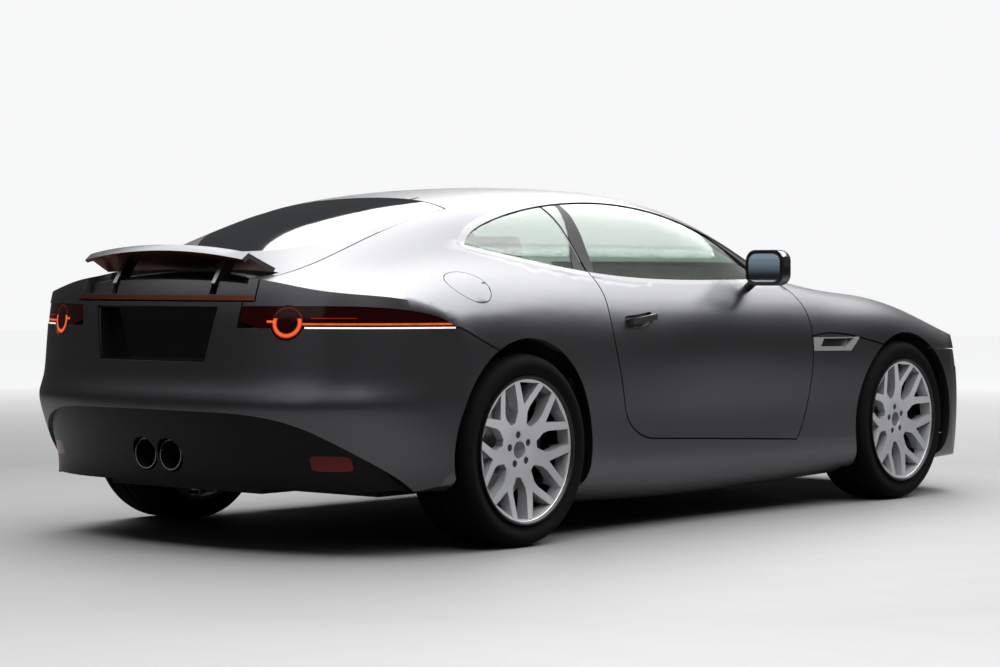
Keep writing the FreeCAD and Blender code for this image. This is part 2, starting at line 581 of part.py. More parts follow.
SKIN = panels()
SIDES = (("left", 1), ("right", -1))
DOOR_HINGES = (up(575), up(725))
LID_AXIS_X, LID_AXIS_Z, LID_EARS = along(2180), up(660), (100, -100)
GATE_AXIS_X, GATE_AXIS_Z, GATE_EARS = along(-1078), up(1230), (250, -250)
GATE_SWING, FLAP_TURNS = 32, (26, 40, 53, 67, 80)
BLADE_EARS = (300, -300)
PIN, LID_PIN = dim("hinge_pin") / 2, dim("lid_pin") / 2


def rod_along_y(radius, x, y, z, half):
    return Part.makeCylinder(radius, 2 * half, Vector(x, y - half, z), Vector(0, 1, 0))


def door_with_knuckles(door):
    """The left door with two hinge knuckles, and room for the body's ears."""
    for z in DOOR_HINGES:
        ear_room = box(HINGE_X - 24, HINGE_X + 34, across(700), BESIDE, z - 28, z + 28)
        door = door.cut(ear_room.common(form(5)))
        barrel = Part.makeCylinder(13, 28, Vector(HINGE_X, HINGE_Y, z - 14))
        root = box(HINGE_X - 10, HINGE_X + 10, HINGE_Y, HINGE_Y + 60, z - 14, z + 14)
        door = door.fuse(barrel.fuse(root).common(form(0.5)))
        door = door.cut(Part.makeCylinder(PIN + SEAT, 40, Vector(HINGE_X, HINGE_Y, z - 20)))
    return whole(door)


def door_brackets():
    """What holds the left door on the body: for each knuckle two ears and a pin."""
    made = []
    for z in DOOR_HINGES:
        bracket = box(HINGE_X - 6, HINGE_X + 6, across(700), HINGE_Y - 35, z - 22, z + 22)
        for low in (z - 22, z + 14 + SEAT):
            bracket = bracket.fuse(box(HINGE_X - 6, HINGE_X + 6, HINGE_Y - 36, HINGE_Y, low,
                                       low + 8 - SEAT))
            bracket = bracket.fuse(Part.makeCylinder(9, 8 - SEAT,
                                                     Vector(HINGE_X, HINGE_Y, low)))
        made.append(bracket.fuse(Part.makeCylinder(PIN, 44, Vector(HINGE_X, HINGE_Y, z - 22))))
    return made


def hinge_lids(skin):
    """Hinge pins and their bores for the bonnet, tailgate and spoiler."""
    nose, bonnet, shell, gate, blade = (skin["nose"], skin["bonnet"], skin["shell"],
                                        skin["tailgate"], whole(skin["blade"]))
    for y in LID_EARS:
        ear = box(LID_AXIS_X - 5, LID_AXIS_X + 5, y - 3, y + 3, up(620), LID_AXIS_Z + 5)
        nose = nose.fuse(ear.fuse(rod_along_y(LID_PIN, LID_AXIS_X, y, LID_AXIS_Z, 14)))
        bonnet = bonnet.cut(box(LID_AXIS_X - 12, LID_AXIS_X + 40, y - 8, y + 8,
                                LID_AXIS_Z - 30, LID_AXIS_Z + 14))
        bonnet = bonnet.cut(rod_along_y(LID_PIN + SEAT, LID_AXIS_X, y, LID_AXIS_Z, 15))
    swing = rod_along_y(GATE_SWING, GATE_AXIS_X, 0, GATE_AXIS_Z, 320)
    gate = gate.cut(swing)
    skin["rear_glass"] = whole(skin["rear_glass"].cut(swing))
    for y in GATE_EARS:
        shell = shell.cut(box(GATE_AXIS_X - 60, GATE_AXIS_X + 14, y - 7, y + 7,
                              GATE_AXIS_Z - 60, GATE_AXIS_Z + 60))
        shell = shell.fuse(rod_along_y(PIN, GATE_AXIS_X, y, GATE_AXIS_Z, 12))
        arm = box(GATE_AXIS_X - 62, GATE_AXIS_X, y - 4, y + 4, GATE_AXIS_Z - 18, GATE_AXIS_Z + 7)
        eye = rod_along_y(9, GATE_AXIS_X, y, GATE_AXIS_Z, 4)
        gate = gate.fuse(arm.common(form(8))).fuse(eye.common(form(1)))
        gate = gate.cut(rod_along_y(PIN + SEAT, GATE_AXIS_X, y, GATE_AXIS_Z, 15))
    for y in BLADE_EARS:
        ear = box(SPOILER_AXIS_X - 5, SPOILER_AXIS_X + 5, y - 3, y + 3,
                  SPOILER_AXIS_Z - 28, SPOILER_AXIS_Z + 4)
        gate = gate.fuse(ear.fuse(rod_along_y(LID_PIN, SPOILER_AXIS_X, y, SPOILER_AXIS_Z, 10)))
        blade = blade.cut(box(SPOILER_AXIS_X - 12, SPOILER_AXIS_X + 40, y - 6, y + 6,
                              SPOILER_AXIS_Z - 30, SPOILER_AXIS_Z + 40))
        blade = blade.cut(rod_along_y(LID_PIN + SEAT, SPOILER_AXIS_X, y, SPOILER_AXIS_Z, 11))
    skin.update(nose=nose, bonnet=whole(bonnet), shell=whole(shell), tailgate=whole(gate),
                blade=blade)


def hinge_flap(skin):
    """The fuel flap's hinge at its front edge: an ear on the body, a slot in the lid."""
    fore = Vector(1, 0, 0) - FLAP_NORMAL * FLAP_NORMAL.x
    fore.normalize()
    turn_axis = FLAP_NORMAL.cross(fore)
    spot = (Vector(along(FLAP_X), across(-FLAP_Y), up(FLAP_Z))
            + fore * (dim("flap_diameter") / 2 - 8))
    probe = Part.makeLine(spot + FLAP_NORMAL * 120, spot - FLAP_NORMAL * 20).common(form(7))
    pivot = max((v.Point for v in probe.Vertexes), key=lambda p: p.dot(FLAP_NORMAL))
    frame = Placement(pivot, Rotation(fore, turn_axis, FLAP_NORMAL, "ZXY"))

    def placed(shape):
        moved = shape.copy()
        moved.Placement = frame
        return moved

    around = skin["shell"].common(placed(box(-30, 60, -60, 60, -30, 30)))
    ear = box(-4, 30, -3, 3, -6, 4).fuse(rod_along_y(LID_PIN, 0, 0, 0, 9))
    room = box(-10, 40, -6, 6, -40, 40)
    skin["shell"] = whole(skin["shell"].fuse(placed(ear).common(form(1))))
    lid = whole(skin["flap_lid"]).cut(placed(room))
    for turn in FLAP_TURNS:
        passed = around.copy()
        passed.translate(fore * -1)
        passed.rotate(pivot, turn_axis, -turn)
        lid = lid.cut(passed)
    skin["flap_lid"] = whole(lid.cut(placed(rod_along_y(LID_PIN + SEAT, 0, 0, 0, 10))))


hinge_lids(SKIN)
hinge_flap(SKIN)
SKIN["door"] = door_with_knuckles(SKIN["door"])


def sided(shape, side):
    return shape if side > 0 else mirrored(shape)


piece("body_shell", SKIN["shell"])
piece("front_bumper", whole(SKIN["nose"]))
piece("rear_bumper", whole(SKIN["tail"]))
piece("rear_diffuser", whole(SKIN["diffuser"]))
piece("bonnet", SKIN["bonnet"])
piece("tailgate", whole(SKIN["tailgate"]))
piece("rear_window", SKIN["rear_glass"])
piece("windscreen", SKIN["screen"])
piece("quarter_glass", Part.makeCompound([SKIN["quarter_glass"],
                                          mirrored(SKIN["quarter_glass"])]))
piece("window_frames", Part.makeCompound([SKIN["frame_trim"],
                                          mirrored(SKIN["frame_trim"])]))
piece("front_wings", Part.makeCompound([SKIN["wing"], mirrored(SKIN["wing"])]))
piece("side_vents", Part.makeCompound([SKIN["vent"], mirrored(SKIN["vent"])]))
piece("headlamps", Part.makeCompound([SKIN["headlamp"], mirrored(SKIN["headlamp"])]))
piece("tail_lamps", Part.makeCompound([SKIN["lamp"], mirrored(SKIN["lamp"])]))
piece("fuel_flap", whole(SKIN["flap_lid"]))
for side_name, side in SIDES:
    piece("door_" + side_name, sided(SKIN["door"], side))
    piece("door_glass_" + side_name, sided(SKIN["door_glass"], side))
    piece("belt_trim_" + side_name, sided(SKIN["door_trim"], side))


POST_X, POST_NEAR, POST_FAR = 440, 640, 725


def floor_pan():
    """Floor, tunnel, bulkheads, boot floor and rails in one, inside the skin's walls."""
    inner = form(WALL + SEAT)
    low = up(122)
    thick = dim("floor_thickness")
    half = across(730) - SEAT
    pan = box(along(-880), along(1040), -half, half, low, low + thick)
    tall = [box(along(640), along(680), -900, 900, low, 1100),
            box(along(-880), along(-840), -900, 900, low, up(900)),
            box(along(-2060), along(-840), -900, 900, up(560), up(585)),
            box(along(-860), along(660), -130, 130, low, up(400))]
    for side in (1, -1):
        near, far = sorted((side * 380.3, side * 450))
        tall.append(box(along(650), along(2100), near, far, 300, 420))
        tall.append(box(along(-2100), along(-850), near, far, 300, 400))
        near, far = sorted((side * 380.3, side * 1000))
        tall.append(box(along(1800), along(1860), near, far, 330, 400))
        tall.append(box(along(-1860), along(-1800), near, far, 330, 400))
        near, far = sorted((side * across(POST_NEAR), side * across(POST_FAR)))
        tall.append(box(along(POST_X), along(650), near, far, low, up(905)))
    pan = pan.multiFuse([wall_piece.common(inner) for wall_piece in tall])
    hinge_space = Part.makeCylinder(172, 700, Vector(HINGE_X, HINGE_Y, up(280)))
    doors = box(along(-860), HINGE_X + 20, across(735), BESIDE, up(240), ABOVE)
    keep_free = Part.makeCompound([hinge_space.cut(box(-4000, 4000, 0, across(726), 0, 2000)),
                                   doors])
    lid_space = form(0).cut(form(dim("bonnet_wall") + 12)).common(
        box(along(500), 3000, -BESIDE, BESIDE, up(600), ABOVE))
    pan = pan.cut(ALL_DRUMS).cut(both(keep_free)).cut(lid_space)
    pan = pan.cut(rod_along_y(30, AXLE_R, 0, TYRE_R, 1000))
    for bracket in door_brackets():
        pan = pan.fuse(bracket).fuse(mirrored(bracket))
    return whole(pan)


piece("floor_pan", floor_pan())


FRONT_X = "(Dims.overall_length / 2 - Dims.front_overhang)"
REAR_X = "(Dims.overall_length / 2 - Dims.front_overhang - Dims.wheelbase)"
AXLE_Z = "(Dims.tyre_diameter / 2)"
AXIAL_BASE = 200  # how far inboard of the wheel's middle its sketches start


def size(formula):
    """What a formula in the sheet's sizes comes to."""
    return float(sheet.evalExpression(formula.replace("Dims.", "")))


def bind(thing, **formulas):
    """Bind properties to formulas in the sheet's sizes."""
    for name, formula in formulas.items():
        thing.setExpression(name, formula)


def place(thing, x="0", y="0", z="0", turn=None):
    """Put an object at bound coordinates, turned first."""
    if turn:
        thing.Placement = Placement(Vector(), turn)
    for letter, formula in (("x", x), ("y", y), ("z", z)):
        thing.setExpression("Placement.Base." + letter, formula)
    return thing


def solid(kind, name, x="0", y="0", z="0", turn=None, **formulas):
    """A primitive with bound sizes at a bound place."""
    thing = doc.addObject("Part::" + kind, name)
    bind(thing, **formulas)
    return place(thing, x, y, z, turn)


def joined(name, things):
    fuse = doc.addObject("Part::MultiFuse", name)
    fuse.Shapes = things
    return fuse


def less(name, base, tool):
    cut = doc.addObject("Part::Cut", name)
    cut.Base = base
    cut.Tool = tool
    return cut


def keep(thing, label):
    """Hand a finished object in as a node."""
    thing.Label = label
    PARTS.append(thing)
    return thing


def origin_plane(body, role):
    for feature in body.Origin.OriginFeatures:
        if feature.Role == role:
            return feature


def profile(body, name, role, corners):
    """A closed sketch of straight sides whose corners are bound to formulas."""
    sketch = body.newObject("Sketcher::SketchObject", name)
    sketch.AttachmentSupport = (origin_plane(body, role), [""])
    sketch.MapMode = "FlatFace"
    spots = [Vector(size(a), size(b), 0) for a, b in corners]
    for i, spot in enumerate(spots):
        sketch.addGeometry(Part.LineSegment(spot, spots[(i + 1) % len(spots)]), False)
    for i in range(len(spots)):
        sketch.addConstraint(Sketcher.Constraint("Coincident", i, 2, (i + 1) % len(spots), 1))
    for i, (a, b) in enumerate(corners):
        for kind, formula in (("DistanceX", a), ("DistanceY", b)):
            number = sketch.addConstraint(
                Sketcher.Constraint(kind, -1, 1, i, 1, size(formula)))
            sketch.setExpression("Constraints[%d]" % number, formula)
    return sketch


def turned(name, corners):
    """A body of revolution about its own Z axis; corners are (radius, height)."""
    body = doc.addObject("PartDesign::Body", name)
    sketch = profile(body, name + "_profile", "XZ_Plane", corners)
    revolve = body.newObject("PartDesign::Revolution", name + "_turn")
    revolve.Profile = sketch
    revolve.ReferenceAxis = (sketch, ["V_Axis"])
    revolve.Angle = 360
    return body


OUTWARD = {1: Rotation(Vector(1, 0, 0), -90), -1: Rotation(Vector(1, 0, 0), 90)}
WHEELS = [("front_left", FRONT_X, "front", 1), ("front_right", FRONT_X, "front", -1),
          ("rear_left", REAR_X, "rear", 1), ("rear_right", REAR_X, "rear", -1)]


def at_wheel(thing, x, axle, side):
    """A turned body goes to its wheel: its local height runs outboard."""
    inner = "%d * (Dims.track_%s / 2 - %d)" % (side, axle, AXIAL_BASE)
    return place(thing, x, inner, AXLE_Z, OUTWARD[side])


def tyre(corner, x, axle, side):
    half = "(Dims.tyre_width_%s / 2)" % axle
    mid = str(AXIAL_BASE)
    outer = "(Dims.tyre_diameter / 2)"
    bead = "(Dims.rim_diameter / 2 - 7)"
    lip = "(Dims.rim_diameter / 2 + 0.4)"
    seat = "Dims.rim_width_%s / 2 - 11.8" % axle
    corners = [(bead, mid + " - (" + seat + " - 8)"), (lip, mid + " - (" + seat + ")"),
               (outer + " - 20", mid + " - " + half), (outer, mid + " - " + half + " + 20"),
               (outer, mid + " + " + half + " - 20"), (outer + " - 20", mid + " + " + half),
               (lip, mid + " + (" + seat + ")"), (bead, mid + " + (" + seat + " - 8)")]
    keep(at_wheel(turned("tyre_" + corner, corners), x, axle, side), "tyre_" + corner)


def rim(corner, x, axle, side):
    """A cast wheel: rolled barrel, dished face and seven forked spokes cut out of it."""
    mid = str(AXIAL_BASE)
    lip = "Dims.rim_diameter / 2"
    edge = "Dims.rim_width_%s / 2" % axle
    face = edge + " - Dims.hub_face_inset"
    corners = [("0", mid + " + " + face + " - Dims.spoke_depth"),
               ("0", mid + " + " + face + " - 5"),
               ("Dims.cap_diameter / 2", mid + " + " + face + " - 5"),
               ("Dims.cap_diameter / 2 + 1", mid + " + " + face),
               ("88", mid + " + " + face),
               ("150", mid + " + " + face + " + 9"),
               (lip + " - 14", mid + " + " + edge + " - 10"),
               (lip + " - 6", mid + " + " + edge),
               (lip, mid + " + " + edge),
               (lip, mid + " + " + edge + " - 11.5"),
               (lip + " - 7.5", mid + " + " + edge + " - 11.5"),
               (lip + " - 9", mid + " + " + edge + " - 50"),
               (lip + " - 30", mid + " + " + edge + " - 72"),
               (lip + " - 30", mid + " - " + edge + " + 50"),
               (lip + " - 9", mid + " - " + edge + " + 38"),
               (lip + " - 7.5", mid + " - " + edge + " + 11.5"),
               (lip, mid + " - " + edge + " + 11.5"),
               (lip, mid + " - " + edge),
               (lip + " - 12", mid + " - " + edge),
               (lip + " - 17", mid + " - " + edge + " + 36"),
               (lip + " - 38", mid + " - " + edge + " + 52"),
               (lip + " - 38", mid + " + " + edge + " - 66"),
               ("150", mid + " + " + face + " + 9 - Dims.spoke_depth - 4"),
               ("80", mid + " + " + face + " - Dims.spoke_depth")]
    name = "rim_" + corner
    body = turned(name, corners)
    doc.recompute()
    r_out = size(lip + " - 19")
    pitch = 2 * math.pi / SPOKES
    for kind, spots in (("gap", SPOKE_GAP), ("fork", FORK_GAP)):
        sketch = body.newObject("Sketcher::SketchObject", name + "_" + kind)
        sketch.AttachmentSupport = (origin_plane(body, "XY_Plane"), [""])
        sketch.MapMode = "FlatFace"
        points = []
        for share, degrees in spots:
            turn = math.radians(degrees - side * SPOKE_TURN) + (pitch / 2 if kind == "gap" else 0)
            points.append(Vector(share * r_out * math.cos(turn),
                                 share * r_out * math.sin(turn), 0))
        for i, spot in enumerate(points):
            sketch.addGeometry(Part.LineSegment(spot, points[(i + 1) % len(points)]), False)
        for i in range(len(points)):
            sketch.addConstraint(
                Sketcher.Constraint("Coincident", i, 2, (i + 1) % len(points), 1))
        pocket = body.newObject("PartDesign::Pocket", name + "_" + kind + "_window")
        pocket.Profile = sketch
        pocket.Type = 1
        pocket.Midplane = True
        doc.recompute()
        pattern = body.newObject("PartDesign::PolarPattern", name + "_" + kind + "_ring")
        pattern.Originals = [pocket]
        pattern.Axis = (origin_line(body, "Z_Axis"), [""])
        pattern.Angle = 360
        pattern.Occurrences = SPOKES
        body.Tip = pattern
        doc.recompute()
    holes = body.newObject("Sketcher::SketchObject", name + "_nuts")
    holes.AttachmentSupport = (origin_plane(body, "XY_Plane"), [""])
    holes.MapMode = "FlatFace"
    for i in range(NUTS):
        turn = 2 * math.pi * i / NUTS + math.pi / SPOKES
        spot = Vector(dim("bolt_circle") / 2 * math.cos(turn),
                      dim("bolt_circle") / 2 * math.sin(turn), 0)
        holes.addGeometry(Part.Circle(spot, Vector(0, 0, 1), dim("bolt_hole") / 2), False)
    nuts = body.newObject("PartDesign::Pocket", name + "_nut_bores")
    nuts.Profile = holes
    nuts.Type = 1
    nuts.Midplane = True
    body.Tip = nuts
    keep(at_wheel(body, x, axle, side), name)


def origin_line(body, role):
    for feature in body.Origin.OriginFeatures:
        if feature.Role == role:
            return feature


SPOKES, NUTS = 7, 5
SPOKE_TURN = 34.6  # degrees from straight ahead to the first spoke
# Window corners: share of the window radius, and degrees from the spoke's middle
# (fork) or from the middle between two spokes (gap).
SPOKE_GAP = [(0.40, -7), (0.40, 7), (0.56, 14.5), (0.66, 13.5), (1.0, 6.5), (1.0, -6.5),
             (0.66, -13.5), (0.56, -14.5)]
FORK_GAP = [(0.66, 0), (1.0, 12.6), (1.0, -12.6)]


for wheel in WHEELS:
    tyre(*wheel)
    rim(*wheel)


def brake_disc(corner, x, axle, side):
    """Disc and bell in one: it bolts to the back of the wheel's hub face."""
    mid = str(AXIAL_BASE)
    seat = mid + " + Dims.rim_width_%s / 2 - Dims.hub_face_inset - Dims.spoke_depth" % axle
    rotor = mid + " - 36"
    corners = [("28.3", seat + " - 9"), ("28.3", seat), ("Dims.hub_diameter / 2 + 8", seat),
               ("88", rotor + " + Dims.disc_thickness"),
               ("Dims.disc_diameter / 2", rotor + " + Dims.disc_thickness"),
               ("Dims.disc_diameter / 2", rotor), ("80", rotor),
               ("Dims.hub_diameter / 2 - 2", seat + " - 9")]
    disc = turned("brake_disc_" + corner, corners)
    keep(at_wheel(disc, x, axle, side), "brake_disc_" + corner)


def hub_and_caliper(corner, x, axle, side, upright_height):
    """Stub axle, bearing housing, upright post and brake caliper, as one object list."""
    base = "Dims.track_%s / 2" % axle
    outboard = OUTWARD[side]

    def off(inboard):
        return "%d * (%s + (%s))" % (side, base, inboard)

    def rod(tag, start, end, radius, dx="0", dz="0"):
        return solid("Cylinder", tag + corner, x + " + " + dx, off(start),
                     AXLE_Z + " + " + dz, outboard, Radius=radius,
                     Height="(%s) - (%s)" % (end, start))

    def block(tag, x0, x1, s0, s1, z0, z1):
        low = s0 if side > 0 else s1
        return solid("Box", tag + corner, "%s + (%s)" % (x, x0), off(low),
                     AXLE_Z + " + (%s)" % z0, None, Length="(%s) - (%s)" % (x1, x0),
                     Width="(%s) - (%s)" % (s1, s0), Height="(%s) - (%s)" % (z1, z0))

    reach = "Dims.disc_diameter / 2"
    back = 1 if x == FRONT_X else -1
    near, far = "-170", "-112"
    if back < 0:
        near, far = "112", "170"
    parts = [rod("stub_", "-90", "Dims.rim_width_%s / 2 - Dims.hub_face_inset - 36" % axle, "28"),
             rod("bearing_", "-112", "-50", "62"),
             block("post_", "-24", "24", "-112", "-72", "-" + upright_height, upright_height),
             block("bridge_", near + (" + 30" if back > 0 else " - 110"),
                   far + (" + 110" if back > 0 else " - 30"), "-84", "-58", "-34", "34"),
             block("caliper_in_", near, far, "-84", "-44", "-100", "100"),
             block("caliper_top_", "-%s - 22" % reach if back > 0 else reach + " + 6",
                   "-%s - 6" % reach if back > 0 else reach + " + 22", "-84", "28",
                   "-62", "62"),
             block("caliper_arm_in_", "-%s - 22" % reach if back > 0 else "170 - 12",
                   "-170 + 12" if back > 0 else reach + " + 22", "-84", "-44", "-62", "62"),
             block("caliper_out_", "-%s - 22" % reach if back > 0 else "120",
                   "-120" if back > 0 else reach + " + 22", "2", "28", "-62", "62")]
    return parts


def knuckle(side_name, side):
    corner = "front_" + side_name
    parts = hub_and_caliper(corner, FRONT_X, "front", side, "118")
    pin_y = "%d * Dims.kingpin_track / 2" % side
    for tag, start in (("low_pin_", "-148"), ("high_pin_", "90")):
        parts.append(solid("Cylinder", tag + corner, FRONT_X, pin_y,
                           AXLE_Z + " + " + start, None, Radius="11", Height="58"))
    for tag, start in (("low_lug_", "-118"), ("high_lug_", "98")):
        parts.append(solid("Box", tag + corner, FRONT_X + " - 22",
                           "%d * (Dims.kingpin_track / 2) %s" % (side, "- 16" if side > 0
                                                                 else "- 34"),
                           AXLE_Z + " + " + start, None,
                           Length="44", Width="50", Height="20"))
    parts.append(solid("Box", "steer_arm_" + corner, FRONT_X + " + 18",
                       "%d * (Dims.kingpin_track / 2) - 12" % side,
                       AXLE_Z + " - 74", None, Length="100", Width="24", Height="22"))
    keep(joined("knuckle_" + side_name, parts), "knuckle_" + side_name)


for wheel in WHEELS:
    brake_disc(*wheel)
for side_name, side in SIDES:
    knuckle(side_name, side)


def front_suspension():
    """Cross member, lower and upper arms and the steering rack, joined."""
    parts = [solid("Box", "cross_member", FRONT_X + " - 90", "-330", "135", None,
                   Length="180", Width="660", Height="90"),
             solid("Box", "rack_beam", FRONT_X + " + 80", "-300", AXLE_Z + " - 100", None,
                   Length="110", Width="600", Height="40"),
             solid("Cylinder", "steering_rack", FRONT_X + " + 130", "-375", AXLE_Z + " - 63",
                   OUTWARD[1], Radius="24", Height="750")]
    for side_name, side in SIDES:
        start = "-Dims.kingpin_track / 2 - 19" if side < 0 else "300"
        reach = "Dims.kingpin_track / 2 + 19 - 300"
        for tag, drop, tall in (("low_arm_", "-158", "20"), ("high_arm_", "122", "16")):
            parts.append(solid("Box", tag + side_name, FRONT_X + " - 20",
                               start, AXLE_Z + " + " + drop, None, Length="40",
                               Width=reach, Height=tall))
        parts.append(solid("Box", "turret_" + side_name, FRONT_X + " - 60",
                           "300" if side > 0 else "-380", "200", None, Length="120",
                           Width="80", Height=AXLE_Z + " + 150 - 200"))
    whole_frame = joined("front_frame", parts)
    pins = []
    for side_name, side in SIDES:
        pins.append(solid("Cylinder", "pin_space_" + side_name, FRONT_X,
                          "%d * Dims.kingpin_track / 2" % side, AXLE_Z + " - 170", None,
                          Radius="11.3", Height="340"))
    return keep(less("front_suspension", whole_frame, joined("pin_spaces", pins)),
                "front_suspension")


def rear_suspension():
    """Subframe, differential, drive shafts, arms and the fixed rear hubs, joined."""
    parts = [solid("Box", "rear_cross", REAR_X + " - 110", "-340", "150", None,
                   Length="220", Width="680", Height="70"),
             solid("Box", "differential", REAR_X + " - 130", "-110", AXLE_Z + " - 130", None,
                   Length="260", Width="220", Height="240"),
             solid("Cylinder", "drive_shafts", REAR_X, "-Dims.track_rear / 2 + 90", AXLE_Z,
                   OUTWARD[1], Radius="22", Height="Dims.track_rear - 180")]
    for side_name, side in SIDES:
        parts += hub_and_caliper("rear_" + side_name, REAR_X, "rear", side, "120")
        start = "-Dims.track_rear / 2 + 80" if side < 0 else "300"
        for tag, drop, tall in (("rear_low_arm_", "-128", "26"), ("rear_high_arm_", "92", "20")):
            parts.append(solid("Box", tag + side_name, REAR_X + " - 24", start,
                               AXLE_Z + " + " + drop, None, Length="48",
                               Width="Dims.track_rear / 2 - 380", Height=tall))
        parts.append(solid("Box", "rear_turret_" + side_name, REAR_X + " - 60",
                           "300" if side > 0 else "-380", "190", None, Length="120",
                           Width="80", Height=AXLE_Z + " + 130 - 190"))
    return keep(joined("rear_suspension", parts), "rear_suspension")


front_suspension()
rear_suspension()


def engine():
    """One plain block with its gearbox behind it, on the front cross member."""
    block = solid("Box", "engine_core", FRONT_X + " - Dims.engine_length + 60",
                  "-Dims.engine_width / 2", "225.3", None, Length="Dims.engine_length - 160",
                  Width="Dims.engine_width", Height="470")
    box_case = solid("Box", "gearbox_core", FRONT_X + " - Dims.engine_length - 15",
                     "-120", "210", None, Length="200", Width="240", Height="170")
    keep(joined("engine_block", [block, box_case]), "engine_block")


engine()


HANGER_TOP = "(560 * Dims.overall_height / 1311 - Dims.seat_gap)"


def exhaust():
    """Rear silencer with two round tips in the middle and its front pipe."""
    tail = "(-Dims.overall_length / 2)"
    parts = [solid("Box", "silencer", tail + " + 210", "-380", "205", None, Length="260",
                   Width="760", Height="170")]
    hollow = []
    for tag, side in SIDES:
        parts.append(solid("Box", "hanger_" + tag, tail + " + 300", "%d * 300 - 15" % side, "370",
                           None, Length="30", Width="30", Height=HANGER_TOP + " - 370"))
        y = "%d * Dims.exhaust_tip_spacing / 2" % side
        spin = Rotation(Vector(0, 1, 0), 90)
        parts.append(solid("Cylinder", "tip_" + tag, tail + " + 80", y, "333", spin,
                           Radius="Dims.exhaust_tip_diameter / 2", Height="160"))
        hollow.append(solid("Cylinder", "tip_bore_" + tag, tail + " + 78", y, "333", spin,
                            Radius="Dims.exhaust_tip_diameter / 2 - 4", Height="122"))
    return keep(less("exhaust", joined("exhaust_run", parts), joined("tip_bores", hollow)),
                "exhaust")


exhaust()


def cabin():
    """Dashboard, console, seats and the steering wheel on its column."""
    dash = form(WALL + SEAT).common(box(along(330), along(640) - SEAT, -900, 900, up(560), up(905)))
    dash = dash.cut(Part.makeCylinder(330, 2000, Vector(along(180), -1000, up(520)),
                                      Vector(0, 1, 0)))
    keep_out = both(box(along(-900), HINGE_X + 172, across(725), BESIDE, up(240), ABOVE))
    posts = both(box(along(POST_X) - SEAT, along(650), across(POST_NEAR) - SEAT,
                     across(POST_FAR) + 1, 0, 1500))
    dash = whole(dash.cut(keep_out).cut(posts).cut(form(0).cut(form(DOOR_WALL + 10))))
    shroud = Part.makeCylinder(34, 270, Vector(0, 0, -440))
    socket = Part.makeCylinder(12 + SEAT, 90, Vector(0, 0, -260))
    for part in (shroud, socket):
        part.rotate(Vector(0, 0, 0), Vector(0, 1, 0), COLUMN_TILT - 90)
        part.translate(Vector(along(WHEEL_X), WHEEL_Y, up(WHEEL_Z)))
    console = box(along(-760), along(600), -118, 118, up(400) + SEAT, up(520))
    arm = box(along(500), along(600), -118, 118, up(515), up(600))
    piece("dashboard", whole(dash.fuse(shroud).fuse(console).fuse(arm).cut(socket)))
    seats = []
    for side in (1, -1):
        mid = side * 370
        cushion = box(along(-560), along(-60), mid - 235, mid + 235,
                      up(122) + dim("floor_thickness") + SEAT, up(390))
        front = [edge for edge in cushion.Edges if edge.BoundBox.XMin > along(-62)]
        cushion = cushion.makeFillet(50, front)
        back = box(0, 150, mid - 235, mid + 235, 0, 640)
        back = back.makeFillet(60, [edge for edge in back.Edges if edge.BoundBox.ZMin > 600])
        back.rotate(Vector(0, 0, 0), Vector(0, 1, 0), -20)
        back.translate(Vector(along(-600), 0, up(340)))
        head = box(0, 110, mid - 125, mid + 125, 0, 170)
        head = head.makeFillet(40, [edge for edge in head.Edges if edge.BoundBox.ZMin > 160])
        head.rotate(Vector(0, 0, 0), Vector(0, 1, 0), -14)
        head.translate(Vector(along(-800), 0, up(925)))
        seats.append(cushion.fuse(back).fuse(head))
    piece("seats", Part.makeCompound(seats))


WHEEL_X, WHEEL_Y, WHEEL_Z, COLUMN_TILT = 130, 370, 745, 24

cabin()


def steering_wheel():
    """Rim, boss and three spokes, square to a column that slopes up to the driver."""
    ring = Part.makeTorus(dim("steering_wheel_diameter") / 2 - 15, 15)
    boss = Part.makeCylinder(62, 34, Vector(0, 0, -17))
    column = Part.makeCylinder(22, 160, Vector(0, 0, -168))
    spigot = Part.makeCylinder(12, 70, Vector(0, 0, -232))
    made = ring.fuse(boss).fuse(column).fuse(spigot)
    for turn in (0, 90, 270):
        spoke = box(40, dim("steering_wheel_diameter") / 2 - 14, -16, 16, -7, 5)
        spoke.rotate(Vector(0, 0, 0), Vector(0, 0, 1), turn)
        made = made.fuse(spoke)
    made.rotate(Vector(0, 0, 0), Vector(0, 1, 0), COLUMN_TILT - 90)
    made.translate(Vector(along(WHEEL_X), WHEEL_Y, up(WHEEL_Z)))
    piece("steering_wheel", made)


steering_wheel()


def mirrors_and_handles():
    """Door mirror on its arm and the popped-out flush handle, both fixed to a door."""
    for side_name, side in SIDES:
        head = box(0, 84, 0, 176, 0, 142)
        ends_up = [edge for edge in head.Edges if edge.BoundBox.XLength > 80]
        head = head.makeFillet(44, ends_up)
        nose_edges = [edge for edge in head.Edges if edge.BoundBox.XMin > 83]
        head = head.makeFillet(38, nose_edges)
        head.translate(Vector(along(218), across(862), up(922)))
        stalk = Part.makeCylinder(17, 130, Vector(along(258), across(812), up(890)),
                                  Vector(0, 0.8, 0.6))
        mirror = head.fuse(stalk).cut(form(0))
        piece("mirror_" + side_name, sided(whole(mirror), side))
        grip = box(0, 150, across(920), across(941), -11, 11)
        for x in (14, 124):
            grip = grip.fuse(box(x, x + 14, across(860), across(920), -7, 7))
        grip.rotate(Vector(0, 0, 0), Vector(0, 1, 0), -7)
        grip.translate(Vector(along(-636), 0, up(788)))
        handle = grip.cut(form(POCKET_DEPTH - SEAT))
        piece("handle_" + side_name, sided(whole(handle), side))


mirrors_and_handles()


